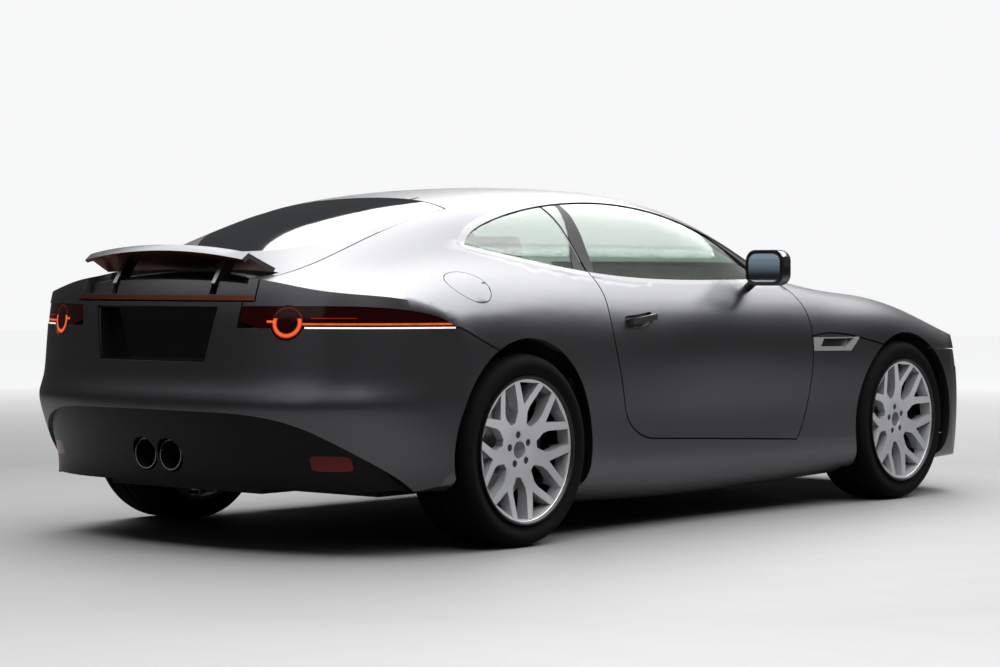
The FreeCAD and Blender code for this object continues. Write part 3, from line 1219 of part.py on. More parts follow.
def spoiler():
    """Rear blade with its two arms, lifted out of its recess in the tailgate."""
    blade = SKIN["blade"]
    arms = []
    for side in (1, -1):
        arm = box(along(-2075), along(-2030), side * ARM_Y - 9, side * ARM_Y + 9,
                  up(850), up(985))
        arms.append(arm.common(form(2)))
    made = blade.fuse(arms[0]).fuse(arms[1])
    made.rotate(Vector(SPOILER_AXIS_X, 0, SPOILER_AXIS_Z), Vector(0, 1, 0),
                dim("spoiler_rise"))
    return made


piece("spoiler", whole(spoiler()))


def grille_and_plate():
    opening = end_block(GRILLE, -SEAT, 1600, 2600)
    bars = []
    for i in range(6):
        z = up(318 + 48 * i)
        bars.append(box(1600, 2600, -600, 600, z, z + 12))
    for i in range(-3, 4):
        bars.append(box(1600, 2600, i * 130 - 5, i * 130 + 5, up(290), up(600)))
    mesh = slab(16, 34, opening.common(Part.makeCompound(bars)))
    rim_band = slab(4, 38, opening.cut(end_block(GRILLE, -16, 1600, 2600)))
    piece("front_grille", whole(rim_band.fuse(mesh)))
    piece("radiator", box(along(1880), along(1930), -380, 380, up(262), up(600)))
    tray = end_block(PLATE).cut(end_block(PLATE, -6, -2600, along(-2112)))
    tray = tray.common(box(along(-2175), along(-2100), -400, 400, 0, 1000)).common(form(8))
    piece("plate_recess", whole(tray))


grille_and_plate()


def liners():
    """Wheel-arch liners: open-bottomed drums of thin wall inside the skin."""
    made = []
    radius, thick = dim("liner_radius"), dim("liner_thickness")
    inner = form(WALL + SEAT)
    for x, near in ((AXLE_F, across(DRUM_NEAR_F)), (AXLE_R, across(DRUM_NEAR_R))):
        drum = axle_drum(x, radius + thick, near, across(DRUM_LIP) - 2)
        drum = drum.cut(axle_drum(x, radius, near + thick, BESIDE))
        drum = drum.cut(box(x - 600, x + 600, 0, BESIDE, -100, TYRE_R - 3)).common(inner)
        drum = drum.cut(box(x - 60, x + 60, near - 10, near + 20, 300, 520))
        made += [whole(drum), mirrored(whole(drum))]
    piece("arch_liners", Part.makeCompound(made))


liners()


doc.recompute()
for thing in doc.Objects:
    if "Invalid" in thing.State or "Error" in thing.State:
        raise RuntimeError("%s did not build: %s" % (thing.Name, thing.State))
os.makedirs("parts", exist_ok=True)
for thing in PARTS:
    if thing.Shape.isNull() or not thing.Shape.isValid():
        raise RuntimeError("%s has no valid shape" % thing.Label)
    thing.Shape.exportStep("parts/%s.step" % thing.Label)
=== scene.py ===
import bpy
import json
import numpy as np
from math import radians, sin, cos, pi
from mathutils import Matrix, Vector


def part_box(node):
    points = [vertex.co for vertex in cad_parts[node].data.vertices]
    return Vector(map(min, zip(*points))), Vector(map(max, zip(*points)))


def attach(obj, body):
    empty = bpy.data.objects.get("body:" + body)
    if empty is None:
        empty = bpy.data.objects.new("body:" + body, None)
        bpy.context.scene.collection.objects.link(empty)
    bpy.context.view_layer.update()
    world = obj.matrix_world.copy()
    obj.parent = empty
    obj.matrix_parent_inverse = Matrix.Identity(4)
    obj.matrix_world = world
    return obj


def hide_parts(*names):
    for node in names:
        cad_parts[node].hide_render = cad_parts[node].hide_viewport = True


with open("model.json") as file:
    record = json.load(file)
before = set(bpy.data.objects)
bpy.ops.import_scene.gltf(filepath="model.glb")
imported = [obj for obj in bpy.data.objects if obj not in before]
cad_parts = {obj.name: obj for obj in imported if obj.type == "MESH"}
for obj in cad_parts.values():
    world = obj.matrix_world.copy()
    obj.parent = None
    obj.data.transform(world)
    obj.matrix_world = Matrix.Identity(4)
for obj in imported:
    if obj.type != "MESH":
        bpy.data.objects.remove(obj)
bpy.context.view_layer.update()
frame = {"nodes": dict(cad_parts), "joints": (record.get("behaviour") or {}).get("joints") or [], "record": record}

# Camera, low behind the right rear wheel. The car is met from three quarters behind,
# at the height of its waist, through a long lens.
bpy.ops.object.camera_add(location=(-8.2642, -6.5810, 0.9457),
                          rotation=(radians(90 - 1.22), radians(-0.115), radians(39.49 - 90)))
camera = bpy.context.object
camera.data.lens = 91.8
camera.data.clip_end = 200
bpy.context.scene.camera = camera
bpy.context.scene.view_settings.view_transform = "Standard"


# Floor and light: a seamless floor under one wide soft lamp overhead, with weaker ones
# behind and at the right. The room is white to the camera and through glass alone.
class Amount:
    """A value in a finish's nodes that plain sums can be written with."""

    def __init__(self, finish, socket):
        self.finish, self.socket = finish, socket

    def sum(self, operation, first, second=0.0):
        return self.finish.node("ShaderNodeMath", {"operation": operation},
                                {0: first, 1: second})

    def __add__(self, other):
        return self.sum("ADD", self, other)

    def __radd__(self, other):
        return self.sum("ADD", other, self)

    def __sub__(self, other):
        return self.sum("SUBTRACT", self, other)

    def __rsub__(self, other):
        return self.sum("SUBTRACT", other, self)

    def __mul__(self, other):
        return self.sum("MULTIPLY", self, other)

    def __truediv__(self, other):
        return self.sum("DIVIDE", self, other)

    def __pow__(self, other):
        return self.sum("POWER", self, other)

    def __gt__(self, other):
        return self.sum("GREATER_THAN", self, other)

    def __lt__(self, other):
        return self.sum("LESS_THAN", self, other)

    def __abs__(self):
        return self.sum("ABSOLUTE", self)

    def within(self, low, high):
        return (self > low) * (self < high)

    def clamped(self):
        return self.finish.node("ShaderNodeMath", {"operation": "ADD", "use_clamp": True},
                                {0: self, 1: 0.0})


class Finish:
    """A material, and the one way its nodes are added."""

    def __init__(self, name, colour, roughness=0.5, metallic=0.0, fixed=()):
        self.material = bpy.data.materials.new(name)
        self.material.use_nodes = True
        self.tree = self.material.node_tree
        self.shader = self.tree.nodes["Principled BSDF"]
        self.shader.inputs["Base Color"].default_value = (*colour, 1.0)
        self.shader.inputs["Roughness"].default_value = roughness
        self.shader.inputs["Metallic"].default_value = metallic
        for socket, value in dict(fixed).items():
            self.shader.inputs[socket].default_value = value

    def node(self, kind, settings=(), values=(), output=0):
        made = self.tree.nodes.new(kind)
        for key, value in dict(settings).items():
            setattr(made, key, value)
        for key, value in dict(values).items():
            if isinstance(value, Amount):
                self.tree.links.new(value.socket, made.inputs[key])
            else:
                made.inputs[key].default_value = value
        return Amount(self, made.outputs[output])

    def feed(self, socket, value):
        self.tree.links.new(value.socket, self.shader.inputs[socket])

    def spot(self):
        return self.node("ShaderNodeTexCoord", output="Object")

    def along(self, letter):
        return self.node("ShaderNodeSeparateXYZ", values={0: self.spot()}, output=letter)

    def noise(self, scale, detail=3.0, stretch=(1, 1, 1)):
        drawn = self.node("ShaderNodeMapping", values={"Vector": self.spot(), "Scale": stretch})
        return self.node("ShaderNodeTexNoise", values={"Vector": drawn, "Scale": scale,
                                                       "Detail": detail})

    def mixed(self, factor, first, second):
        return self.node("ShaderNodeMix", {"data_type": "RGBA"},
                         {0: factor, 6: first, 7: second}, output=2)

    def printed(self, mask, colour, roughness, clear=0.0):
        """Part of a clear finish is covered with print, opaque or clear."""
        ink = self.tree.nodes.new("ShaderNodeBsdfPrincipled")
        ink.inputs["Base Color"].default_value = (*colour, 1.0)
        ink.inputs["Roughness"].default_value = roughness
        ink.inputs["Specular IOR Level"].default_value = 0.08
        ink.inputs["Transmission Weight"].default_value = clear
        ink.inputs["IOR"].default_value = 1.5 - 0.42 * clear
        surface = self.tree.nodes["Material Output"].inputs["Surface"]
        below = surface.links[0].from_socket
        both = self.node("ShaderNodeMixShader", values={0: mask})
        for slot_number, output in ((1, below), (2, ink.outputs[0])):
            self.tree.links.new(output, both.socket.node.inputs[slot_number])
        self.tree.links.new(both.socket, surface)

    def dent(self, height, strength=0.3, distance=0.001):
        self.feed("Normal", self.node("ShaderNodeBump", values={
            "Height": height, "Strength": strength, "Distance": distance}))


def reach(first, second):
    """How far off a point lies, from its two offsets."""
    return (first ** 2 + second ** 2) ** 0.5


grey_floor, shade_floor = (0.15, 0.15, 0.152), (0.025, 0.025, 0.026)
white_wall = (0.88, 0.885, 0.89)
fade_start, fade_width = 3.5, 9.0
right_edge, right_width = -2.2, 2.4
rear_edge, rear_width = -3.0, 2.0
floor_finish = Finish("pale_floor", grey_floor, 0.6, 0.0, {"Emission Strength": 1.0})
floor_finish.feed("Roughness", 0.5 + floor_finish.noise(3.0) * 0.12)
far_off = reach(floor_finish.along("X"), floor_finish.along("Y")) - fade_start
camera_ray = floor_finish.node("ShaderNodeLightPath", output="Is Camera Ray")
fade = (far_off / fade_width).clamped()
# To every ray but the camera's, the floor darkens to the right of and behind the car: painted shade, seen in the
# car's reflections.
dark_right = ((right_edge - floor_finish.along("Y")) / right_width).clamped()
dark_behind = ((rear_edge - floor_finish.along("X")) / rear_width).clamped()
reflected_shade = (dark_right + dark_behind).clamped() * (1.0 - camera_ray)
floor_finish.feed("Base Color", floor_finish.mixed(reflected_shade, (*grey_floor, 1), (*shade_floor, 1)))
floor_finish.feed("Emission Color", floor_finish.mixed(fade * camera_ray, (0, 0, 0, 1),
                                                       (*white_wall, 1)))
bpy.ops.mesh.primitive_plane_add(size=60, location=(0, 0, 0))
floor = bpy.context.object
floor.name = "studio_floor"
floor.data.materials.append(floor_finish.material)

room = bpy.data.worlds.new("white_room")
bpy.context.scene.world = room
room.use_nodes = True
air = room.node_tree
back = air.nodes["Background"]
ray = air.nodes.new("ShaderNodeLightPath")
seen = air.nodes.new("ShaderNodeMath")
seen.operation = "MAXIMUM"
air.links.new(ray.outputs["Is Camera Ray"], seen.inputs[0])
air.links.new(ray.outputs["Is Transmission Ray"], seen.inputs[1])
unseen_glow = 0.06
level = air.nodes.new("ShaderNodeMath")
level.operation = "MAXIMUM"
level.inputs[1].default_value = unseen_glow
air.links.new(seen.outputs[0], level.inputs[0])
air.links.new(level.outputs[0], back.inputs["Strength"])
back.inputs["Color"].default_value = (0.93, 0.935, 0.94, 1)
for name, place, turn, size, power in (
        ("overhead", (1.2, -0.6, 4.6), (0, 0, 0), (13.4, 10.8), 2610),
        ("behind", (-8.0, -1.0, 4.2), (0, radians(-58), 0), (4.0, 3.0), 25),
        ("right_side", (0.5, -7.5, 4.6), (radians(54), 0, 0), (9.0, 1.8), 20)):
    bpy.ops.object.light_add(type="AREA", location=place, rotation=turn)
    lamp = bpy.context.object
    lamp.name = name + "_light"
    lamp.data.shape = "RECTANGLE"
    lamp.data.size, lamp.data.size_y = size
    lamp.data.energy = power

# Painted panels: pressed aluminium, sprayed satin dark grey with a fine metal flake. Each
# is the imported panel with its facets joined and shaded smooth. A band along the edge of
# the tail is painted copper: a painted reflection of the copper-lit blade above it.
paint = Finish("satin_grey_paint", (0.10, 0.10, 0.107), 0.38, 1.0)
flake = paint.noise(2600.0, 1.0)
haze = paint.noise(1.7, 3.0)
dark_flake, light_flake = (0.082, 0.083, 0.088, 1), (0.120, 0.121, 0.128, 1)
copper_reflection = (0.19, 0.050, 0.022, 1)
bay_edge_reflection = ((paint.along("X") < -2.10) * paint.along("Z").within(0.8725, 0.888)
            * (abs(paint.along("Y")) < 0.44))
paint.feed("Base Color", paint.mixed(bay_edge_reflection, paint.mixed(flake, dark_flake, light_flake),
                                     copper_reflection))
paint.feed("Roughness", 0.30 + haze * 0.06 + flake * 0.04)
paint.dent(paint.noise(420.0, 2.0), 0.05, 0.0004)

home = {node: body for body, nodes in frame["record"]["behaviour"]["bodies"].items()
        for node in nodes}


def take_up(piece):
    """Only this piece is selected."""
    bpy.ops.object.select_all(action="DESELECT")
    piece.select_set(True)
    bpy.context.view_layer.objects.active = piece


def unit_rows(rows):
    """Each row as a direction, one unit long."""
    return rows / np.maximum(np.linalg.norm(rows, axis=1, keepdims=True), 1e-20)


def even_shading(mesh, alike=0.64, rounds=5):
    """Corner normals are averaged over like-facing neighbours by area, so that the
    slivers along a panel's cut edges take the direction of the skin they lie in."""
    count = len(mesh.polygons)
    corners = np.empty(count * 3, np.int32)
    mesh.polygons.foreach_get("vertices", corners)
    facing, area = np.empty(count * 3, np.float32), np.empty(count, np.float32)
    mesh.polygons.foreach_get("normal", facing)
    mesh.polygons.foreach_get("area", area)
    facing = facing.reshape(count, 3)
    normals = np.repeat(facing, 3, axis=0)
    weight = np.repeat(np.maximum(area, 1e-12), 3)
    order = np.argsort(corners, kind="stable")
    start = np.flatnonzero(np.diff(corners[order], prepend=-1))
    valence = np.diff(np.append(start, len(order)))
    fans = [order[start[valence == v][:, None] + np.arange(v)] for v in np.unique(valence)]
    for _ in range(rounds):
        fresh = normals.copy()
        for fan in fans:
            around, heavy = normals[fan], weight[fan]
            like = np.einsum("nik,njk->nij", around, around) > alike
            fresh[fan] = np.einsum("nij,nj,njk->nik", like, heavy, around)
        faces = unit_rows(fresh).reshape(count, 3, 3)
        middle = unit_rows(np.repeat(faces.mean(axis=1), 3, axis=0))
        fresh = faces.reshape(-1, 3)
        normals = np.where(np.einsum("ij,ij->i", middle, normals)[:, None] > alike,
                           middle, normals)
    fresh = spread_shading(mesh, corners, facing, area, fresh)
    mesh.polygons.foreach_set("use_smooth", np.ones(count, bool))
    mesh.normals_split_custom_set(fresh.tolist())


def spread_shading(mesh, corners, facing, area, own, cell=0.022, alike=0.70):
    """Each corner normal becomes the mean of the like-facing skin within some thirty
    millimetres, gathered from a grid of cells that the skin was first shared out to."""
    spots = np.empty(len(mesh.vertices) * 3, np.float32)
    mesh.vertices.foreach_get("co", spots)
    spots = spots.reshape(-1, 3)
    triangles = spots[corners].reshape(-1, 3, 3)
    longest = np.linalg.norm(triangles - np.roll(triangles, 1, axis=1), axis=2).max(axis=1)
    steps = np.clip(np.ceil(longest / (0.7 * cell)), 1, 30).astype(int)

    def keyed(cells, sides):
        """One number for a cell of the grid and the side that its skin faces."""
        cells = cells.astype(np.int64) + 512
        return ((cells[:, 0] * 1024 + cells[:, 1]) * 1024 + cells[:, 2]) * 6 + sides

    found_keys, shares = [], []
    for step in np.unique(steps):
        some = np.flatnonzero(steps == step)
        first, second = np.meshgrid(*[(np.arange(step) + 1 / 3) / step] * 2)
        first, second = first[first + second < 1], second[first + second < 1]
        mix = np.stack([first, second, 1 - first - second], axis=1)
        points = np.einsum("kc,ncd->nkd", mix, triangles[some]).reshape(-1, 3)
        way = np.repeat(facing[some], len(mix), axis=0)
        main = np.abs(way).argmax(axis=1)
        sides = main * 2 + (way[np.arange(len(way)), main] < 0)
        found_keys.append(keyed(np.floor(points / cell), sides))
        shares.append(way * np.repeat(area[some] / len(mix), len(mix))[:, None])
    keys, place = np.unique(np.concatenate(found_keys), return_inverse=True)
    shares = np.concatenate(shares)
    table = np.stack([np.bincount(place, shares[:, i], len(keys)) for i in range(3)], axis=1)
    unit = unit_rows(table)

    rough_way = np.round(own * 6).astype(np.int64) + 8
    code = ((corners.astype(np.int64) * 32 + rough_way[:, 0]) * 32 + rough_way[:, 1]) * 32
    groups, first_of, group = np.unique(code + rough_way[:, 2], return_index=True,
                                        return_inverse=True)
    like_way, at = own[first_of], spots[corners[first_of]] / cell
    middle = np.floor(at)
    off = at - middle - 0.5
    kernel = {-1: 0.5 * (0.5 - off) ** 2, 0: 0.75 - off ** 2, 1: 0.5 * (0.5 + off) ** 2}
    total = np.zeros((len(groups), 3))
    for i, j, k in np.ndindex(3, 3, 3):
        shift = (i - 1, j - 1, k - 1)
        heavy = kernel[shift[0]][:, 0] * kernel[shift[1]][:, 1] * kernel[shift[2]][:, 2]
        for side in range(6):
            wanted = keyed(middle + shift, side)
            spot = np.minimum(np.searchsorted(keys, wanted), len(keys) - 1)
            like = (np.einsum("ij,ij->i", unit[spot], like_way) - alike) / 0.24
            share = heavy * np.clip(like, 0, 1) * (keys[spot] == wanted)
            total += share[:, None] * table[spot]
    size = np.linalg.norm(total, axis=1, keepdims=True)
    return np.where(size > 1e-12, total / np.maximum(size, 1e-20), like_way)[group]


def smoothed(node, finish):
    """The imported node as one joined, smooth-shaded piece in its real finish."""
    piece = bpy.data.objects.new(node + "_finished", frame["nodes"][node].data.copy())
    bpy.context.scene.collection.objects.link(piece)
    piece.data.materials.clear()
    piece.data.materials.append(finish.material)
    take_up(piece)
    bpy.ops.object.mode_set(mode="EDIT")
    bpy.ops.mesh.select_all(action="SELECT")
    bpy.ops.mesh.remove_doubles(threshold=0.00003)
    bpy.ops.mesh.select_all(action="DESELECT")
    bpy.ops.object.mode_set(mode="OBJECT")
    even_shading(piece.data)
    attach(piece, home[node])
    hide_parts(node)
    return piece


soft = Finish("soft_black", (0.022, 0.022, 0.023), 0.68)
soft.dent(soft.noise(520.0, 4.0), 0.35, 0.0006)
soft.feed("Roughness", 0.60 + soft.noise(25.0) * 0.18)
# The handle pockets are painted near black: painted shade in the recess behind each handle.
pocket_shade = Finish("pocket_painted_shade", (0.006, 0.006, 0.0065), 0.30)
pocket_shade.feed("Roughness", 0.26 + pocket_shade.noise(40.0) * 0.1)


def lined(piece, second, inner):
    """The faces that a test picks take a second finish."""
    piece.data.materials.append(second.material)
    last = len(piece.data.materials) - 1
    for face in piece.data.polygons:
        if inner(face.center, face.normal):
            face.material_index = last


def turned_in(spot, facing):
    """Does the face look in at the middle of the cabin?"""
    middle_height = 0.55
    outward = facing.y * spot.y + facing.z * (spot.z - middle_height)
    return outward < -0.10 * (abs(spot.y) + 0.3)


def in_handle_pocket(spot, facing):
    """Is the face in the pocket behind a door handle, inside the curved skin?"""
    up = spot.z - 0.764
    skin = 0.9105 - 0.17 * up - 1.3 * up ** 2
    return (-0.668 < spot.x < -0.455 and 0.762 < spot.z < 0.828
            and 0.87 < abs(spot.y) < skin)


for node in ("body_shell", "front_bumper", "rear_bumper", "bonnet", "tailgate", "front_wings",
             "fuel_flap", "door_left", "door_right"):
    panel = smoothed(node, paint)
    if node in ("body_shell", "tailgate", "door_left", "door_right"):
        lined(panel, soft, turned_in)
    # The pocket behind each door handle takes the painted shade.
    if node.startswith("door"):
        lined(panel, pocket_shade, in_handle_pocket)

# Window surrounds and belt strips: satin anodised aluminium, rolled and clipped on.
# Fine lines run along them from the rolling.
bright = Finish("satin_aluminium", (0.115, 0.115, 0.118), 0.28, 1.0)
bright.feed("Roughness", 0.22 + bright.noise(90.0, 2.0, (1, 8, 8)) * 0.12)
for node in ("window_frames", "belt_trim_left", "belt_trim_right"):
    smoothed(node, bright)

# Glass: green-tinted tempered side glass and screen with printed black borders, and a
# rear pane that is dark all over. Low down and in front the side glass is painted a denser
# green that reflects less: painted shade where the lamp's reflection stops.
side_glass = Finish("green_glass", (0.42, 0.50, 0.45), 0.0, 0.0,
                    {"Transmission Weight": 1.0, "IOR": 1.36})
side_glass.feed("Roughness", side_glass.noise(6.0) * 0.012)
belt_height, shade_blend = 0.975, 0.05
print_black, shaded_green = (0.003, 0.003, 0.0033), (0.38, 0.47, 0.41)
fore, high = side_glass.along("X"), side_glass.along("Z") - belt_height
pillar = (fore > -0.820 + high * 0.66) * (fore < -0.695 + high * 0.283)
sail = fore > 0.405 - high * 1.55
# Painted shade: low down and in front the glass is a denser green and reflects less.
low_painted_shade = ((0.105 - high) / shade_blend).clamped()
front_painted_shade = ((fore - 0.20 + high * 0.8) / shade_blend).clamped()
side_glass.printed((low_painted_shade + front_painted_shade).clamped(), shaded_green, 0.0, clear=1.0)
side_glass.printed((pillar + sail).clamped(), print_black, 0.4)
for node in ("door_glass_left", "door_glass_right", "quarter_glass"):
    smoothed(node, side_glass)
screen_glass = Finish("screen_glass", (0.46, 0.54, 0.49), 0.0, 0.0,
                      {"Transmission Weight": 1.0, "IOR": 1.26})
screen_glass.feed("Roughness", screen_glass.noise(6.0) * 0.012)
fore, wide = screen_glass.along("X"), abs(screen_glass.along("Y"))
edge = (fore > 0.655 - wide ** 2 * 0.36) + (fore < -0.055 + wide ** 2 * 0.10)
screen_glass.printed(edge, print_black, 0.4)
smoothed("windscreen", screen_glass)
dark_glass = Finish("dark_glass", (0.008, 0.009, 0.010), 0.04, 0.0, {"IOR": 1.42})
dark_glass.feed("Roughness", 0.03 + dark_glass.noise(5.0) * 0.03)
smoothed("rear_window", dark_glass)

# Tail lamps: a slim red lens on each side with a round element. Its lower half and a
# line along the foot of the lens glow, over a strip that glows white: a painted reflection.
lens = Finish("red_lens", (0.008, 0.0005, 0.0005), 0.10, 0.0,
              {"IOR": 1.3, "Emission Strength": 1.0})
unlit_red, reflection_white = (0.008, 0.0005, 0.0005, 1), (0.70, 0.66, 0.64, 1)
faint_red, hot_red, rim_red = (0.003, 0.0, 0.0, 1), (1.0, 0.15, 0.04, 1), (0.55, 0.035, 0.012, 1)
wide, high = abs(lens.along("Y")), lens.along("Z")
eye_wide, eye_high = 0.572, 0.797
eye = reach(wide - eye_wide, high - eye_high)
ring = eye.within(0.036, 0.050) * (high < 0.812)
line = high.within(0.790, 0.797) * (wide > 0.622)
inner_line = high.within(0.797, 0.805) * wide.within(0.500, 0.530)
# Painted reflection: a white strip that glows along the bottom of the lens.
reflection_strip = (high < 0.7835) * (wide > 0.632)
upper = high.within(0.812, 0.8145) * wide.within(0.650, 0.78)
rim_line = eye.within(0.050, 0.0525) * 0.6
core = 1.0 - ((eye - 0.043) / 0.0085) ** 2
flicker = 0.35 + lens.noise(34.0, 2.0) * 0.8
glow = ring * core + (line + inner_line) * flicker
lens.feed("Base Color", lens.mixed(reflection_strip, unlit_red, reflection_white))
hot = lens.mixed((upper + rim_line) * 0.5, lens.mixed(glow, faint_red, hot_red), rim_red)
lens.feed("Emission Color", lens.mixed(reflection_strip, hot, (0.62, 0.50, 0.46, 1)))
lens.dent(abs(lens.noise(1.0, 0.0, (240, 240, 240)) - 0.5), 0.06, 0.0006)
smoothed("tail_lamps", lens)

# Tyres: low road tyres with four ring grooves, cross cuts in the tread, and fine ribs
# on the side wall. The rubber is moulded and matte.


def tyre_finish(name, centre):
    """Rubber whose cross cuts and ribs turn about one wheel's axle."""
    made = Finish(name, (0.003, 0.003, 0.0032), 0.8, 0.0, {"Specular IOR Level": 0.05})
    cuts_round, slant, rib_pitch, shoulder = 84.0, 62.0, 2400.0, 0.3345
    fore, rise = made.along("X") - centre[0], made.along("Z") - centre[2]
    off = made.along("Y") - centre[1]
    out = reach(fore, rise)
    round_way = made.node("ShaderNodeMath", {"operation": "ARCTAN2"}, {0: rise, 1: fore})
    wave = made.node("ShaderNodeMath", {"operation": "SINE"},
                     {0: round_way * cuts_round + abs(off) * slant})
    cuts = (wave > 0.90) * (out > shoulder)
    ribs = made.node("ShaderNodeMath", {"operation": "SINE"},
                     {0: out * rib_pitch}) * (out < 0.318)
    grain = made.noise(900.0, 2.0)
    made.dent(1.0 - cuts + ribs * 0.08 + grain * 0.05, 0.9, 0.0022)
    # The cross cuts are painted darker than the tread: painted shade in the cuts.
    made.feed("Base Color", made.mixed(cuts, (0.003, 0.003, 0.0032, 1),
                                       (0.0008, 0.0008, 0.0008, 1)))
    made.feed("Roughness", 0.70 + grain * 0.18 + (out > 0.3405) * 0.08)
    return made


def turned(name, section, centre, steps=120):
    """A ring spun about a wheel's axle from its half section of (radius, offset) points."""
    bpy.ops.object.select_all(action="DESELECT")
    bpy.ops.mesh.primitive_plane_add(size=0.01, location=centre)
    piece = bpy.context.object
    piece.name = name
    bpy.ops.object.mode_set(mode="EDIT")
    bpy.ops.mesh.select_all(action="SELECT")
    bpy.ops.mesh.merge(type="CENTER")
    bpy.ops.mesh.select_all(action="SELECT")
    bpy.ops.transform.translate(value=(section[0][0], section[0][1], 0))
    for (r0, w0), (r1, w1) in zip(section, section[1:]):
        bpy.ops.mesh.extrude_vertices_move(
            TRANSFORM_OT_translate={"value": (r1 - r0, w1 - w0, 0)})
    bpy.ops.mesh.select_all(action="SELECT")
    bpy.ops.mesh.spin(steps=steps, angle=2 * pi, center=centre, axis=(0, 1, 0))
    bpy.ops.mesh.select_all(action="SELECT")
    bpy.ops.mesh.remove_doubles(threshold=0.00002)
    bpy.ops.mesh.normals_make_consistent(inside=False)
    bpy.ops.object.mode_set(mode="OBJECT")
    bpy.ops.object.transform_apply(location=True, rotation=True, scale=True)
    return piece


wheels = {joint["child"]: Vector(joint["pos_m"]) for joint in frame["joints"]
          if joint["name"].endswith("_spin")}
for wheel, centre in wheels.items():
    corner = wheel.removeprefix("wheel_")
    low, high_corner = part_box("tyre_" + corner)
    half = (high_corner.y - low.y) / 2
    bead = half - (0.0125 if "front" in corner else 0.0162)
    outer = (high_corner.z - low.z) / 2
    side_wall = [(0.2575, bead - 0.008), (0.2645, bead), (0.271, bead + 0.004),
                 (0.276, bead + 0.0035), (0.290, half - 0.005), (0.303, half - 0.0005),
                 (0.316, half - 0.002), (0.3275, half - 0.009), (0.3345, half - 0.019),
                 (0.3395, half - 0.034)]
    tread, crown_fall = [], 0.0028
    for middle, depth in ((half - 0.050, 0.0065), (0.024, 0.0075)):
        for shift, drop in ((0.0062, 0.0), (0.0045, depth), (-0.0045, depth), (-0.0062, 0.0)):
            crown = outer - crown_fall * ((middle + shift) / half) ** 2 - 0.0002
            tread.append((crown - drop, middle + shift))
    half_section = side_wall + tread
    section = half_section + [(r, -w) for r, w in reversed(half_section)]
    tyre = turned("tyre_%s_tread" % corner, section, centre)
    tyre.data.materials.append(tyre_finish("rubber_" + corner, centre).material)
    take_up(tyre)
    bpy.ops.object.shade_smooth_by_angle(angle=radians(38))
    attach(tyre, wheel)
    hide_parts("tyre_" + corner)

# Rims: cast aluminium in bright silver lacquer, with seven forked spokes. The cut
# edges are rounded as a casting's are, and five bolts and a plain cap sit in the hub.


def rim_finish(name, centre):
    """Silver lacquer, with painted shade deep in the barrel and a painted shadow line where the lip meets the
    tyre.
    """
    silver = Finish(name, (0.42, 0.425, 0.435), 0.36, 0.8,
                    {"Coat Weight": 0.15, "Coat Roughness": 0.2})
    lip_shadow_radius, barrel_shade_half = 0.2508, 0.062
    out = reach(silver.along("X") - centre[0], silver.along("Z") - centre[2])
    # Painted shade deep in the barrel, and a painted shadow line outside the lip.
    inner = (barrel_shade_half - abs(silver.along("Y") - centre[1])).clamped() * 60.0
    face = silver.mixed(inner.clamped(), (0.58, 0.585, 0.60, 1), (0.10, 0.10, 0.104, 1))
    silver.feed("Base Color", silver.mixed(out > lip_shadow_radius, face, (0.02, 0.02, 0.021, 1)))
    silver.feed("Roughness", 0.32 + silver.noise(35.0) * 0.10)
    silver.dent(silver.noise(700.0, 1.0), 0.04, 0.0003)
    return silver


bolt_steel = Finish("bolt_steel", (0.03, 0.03, 0.032), 0.4, 0.6)
bolt_steel.feed("Roughness", 0.25 + bolt_steel.noise(300.0) * 0.15)
dark_cap = Finish("cap_grey", (0.10, 0.10, 0.105), 0.30, 0.6, {"Coat Weight": 0.5})
dark_cap.feed("Roughness", 0.25 + dark_cap.noise(160.0) * 0.12)


def placed(piece, name, finish, body, angle=35):
    """A new piece is finished: place and turn go into its mesh, and it rides on a body."""
    piece.name = name
    take_up(piece)
    bpy.ops.object.transform_apply(location=True, rotation=True, scale=True)
    piece.data.materials.clear()
    piece.data.materials.append(finish.material)
    bpy.ops.object.shade_smooth_by_angle(angle=radians(angle))
    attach(piece, body)
    return piece


def rounded(piece, width, angle):
    """Edges sharper than the angle are rounded off."""
    take_up(piece)
    bevel = piece.modifiers.new("round", "BEVEL")
    bevel.width, bevel.segments = width, 2
    bevel.limit_method = "ANGLE"
    bevel.angle_limit = radians(angle)
    bpy.ops.object.modifier_apply(modifier=bevel.name)


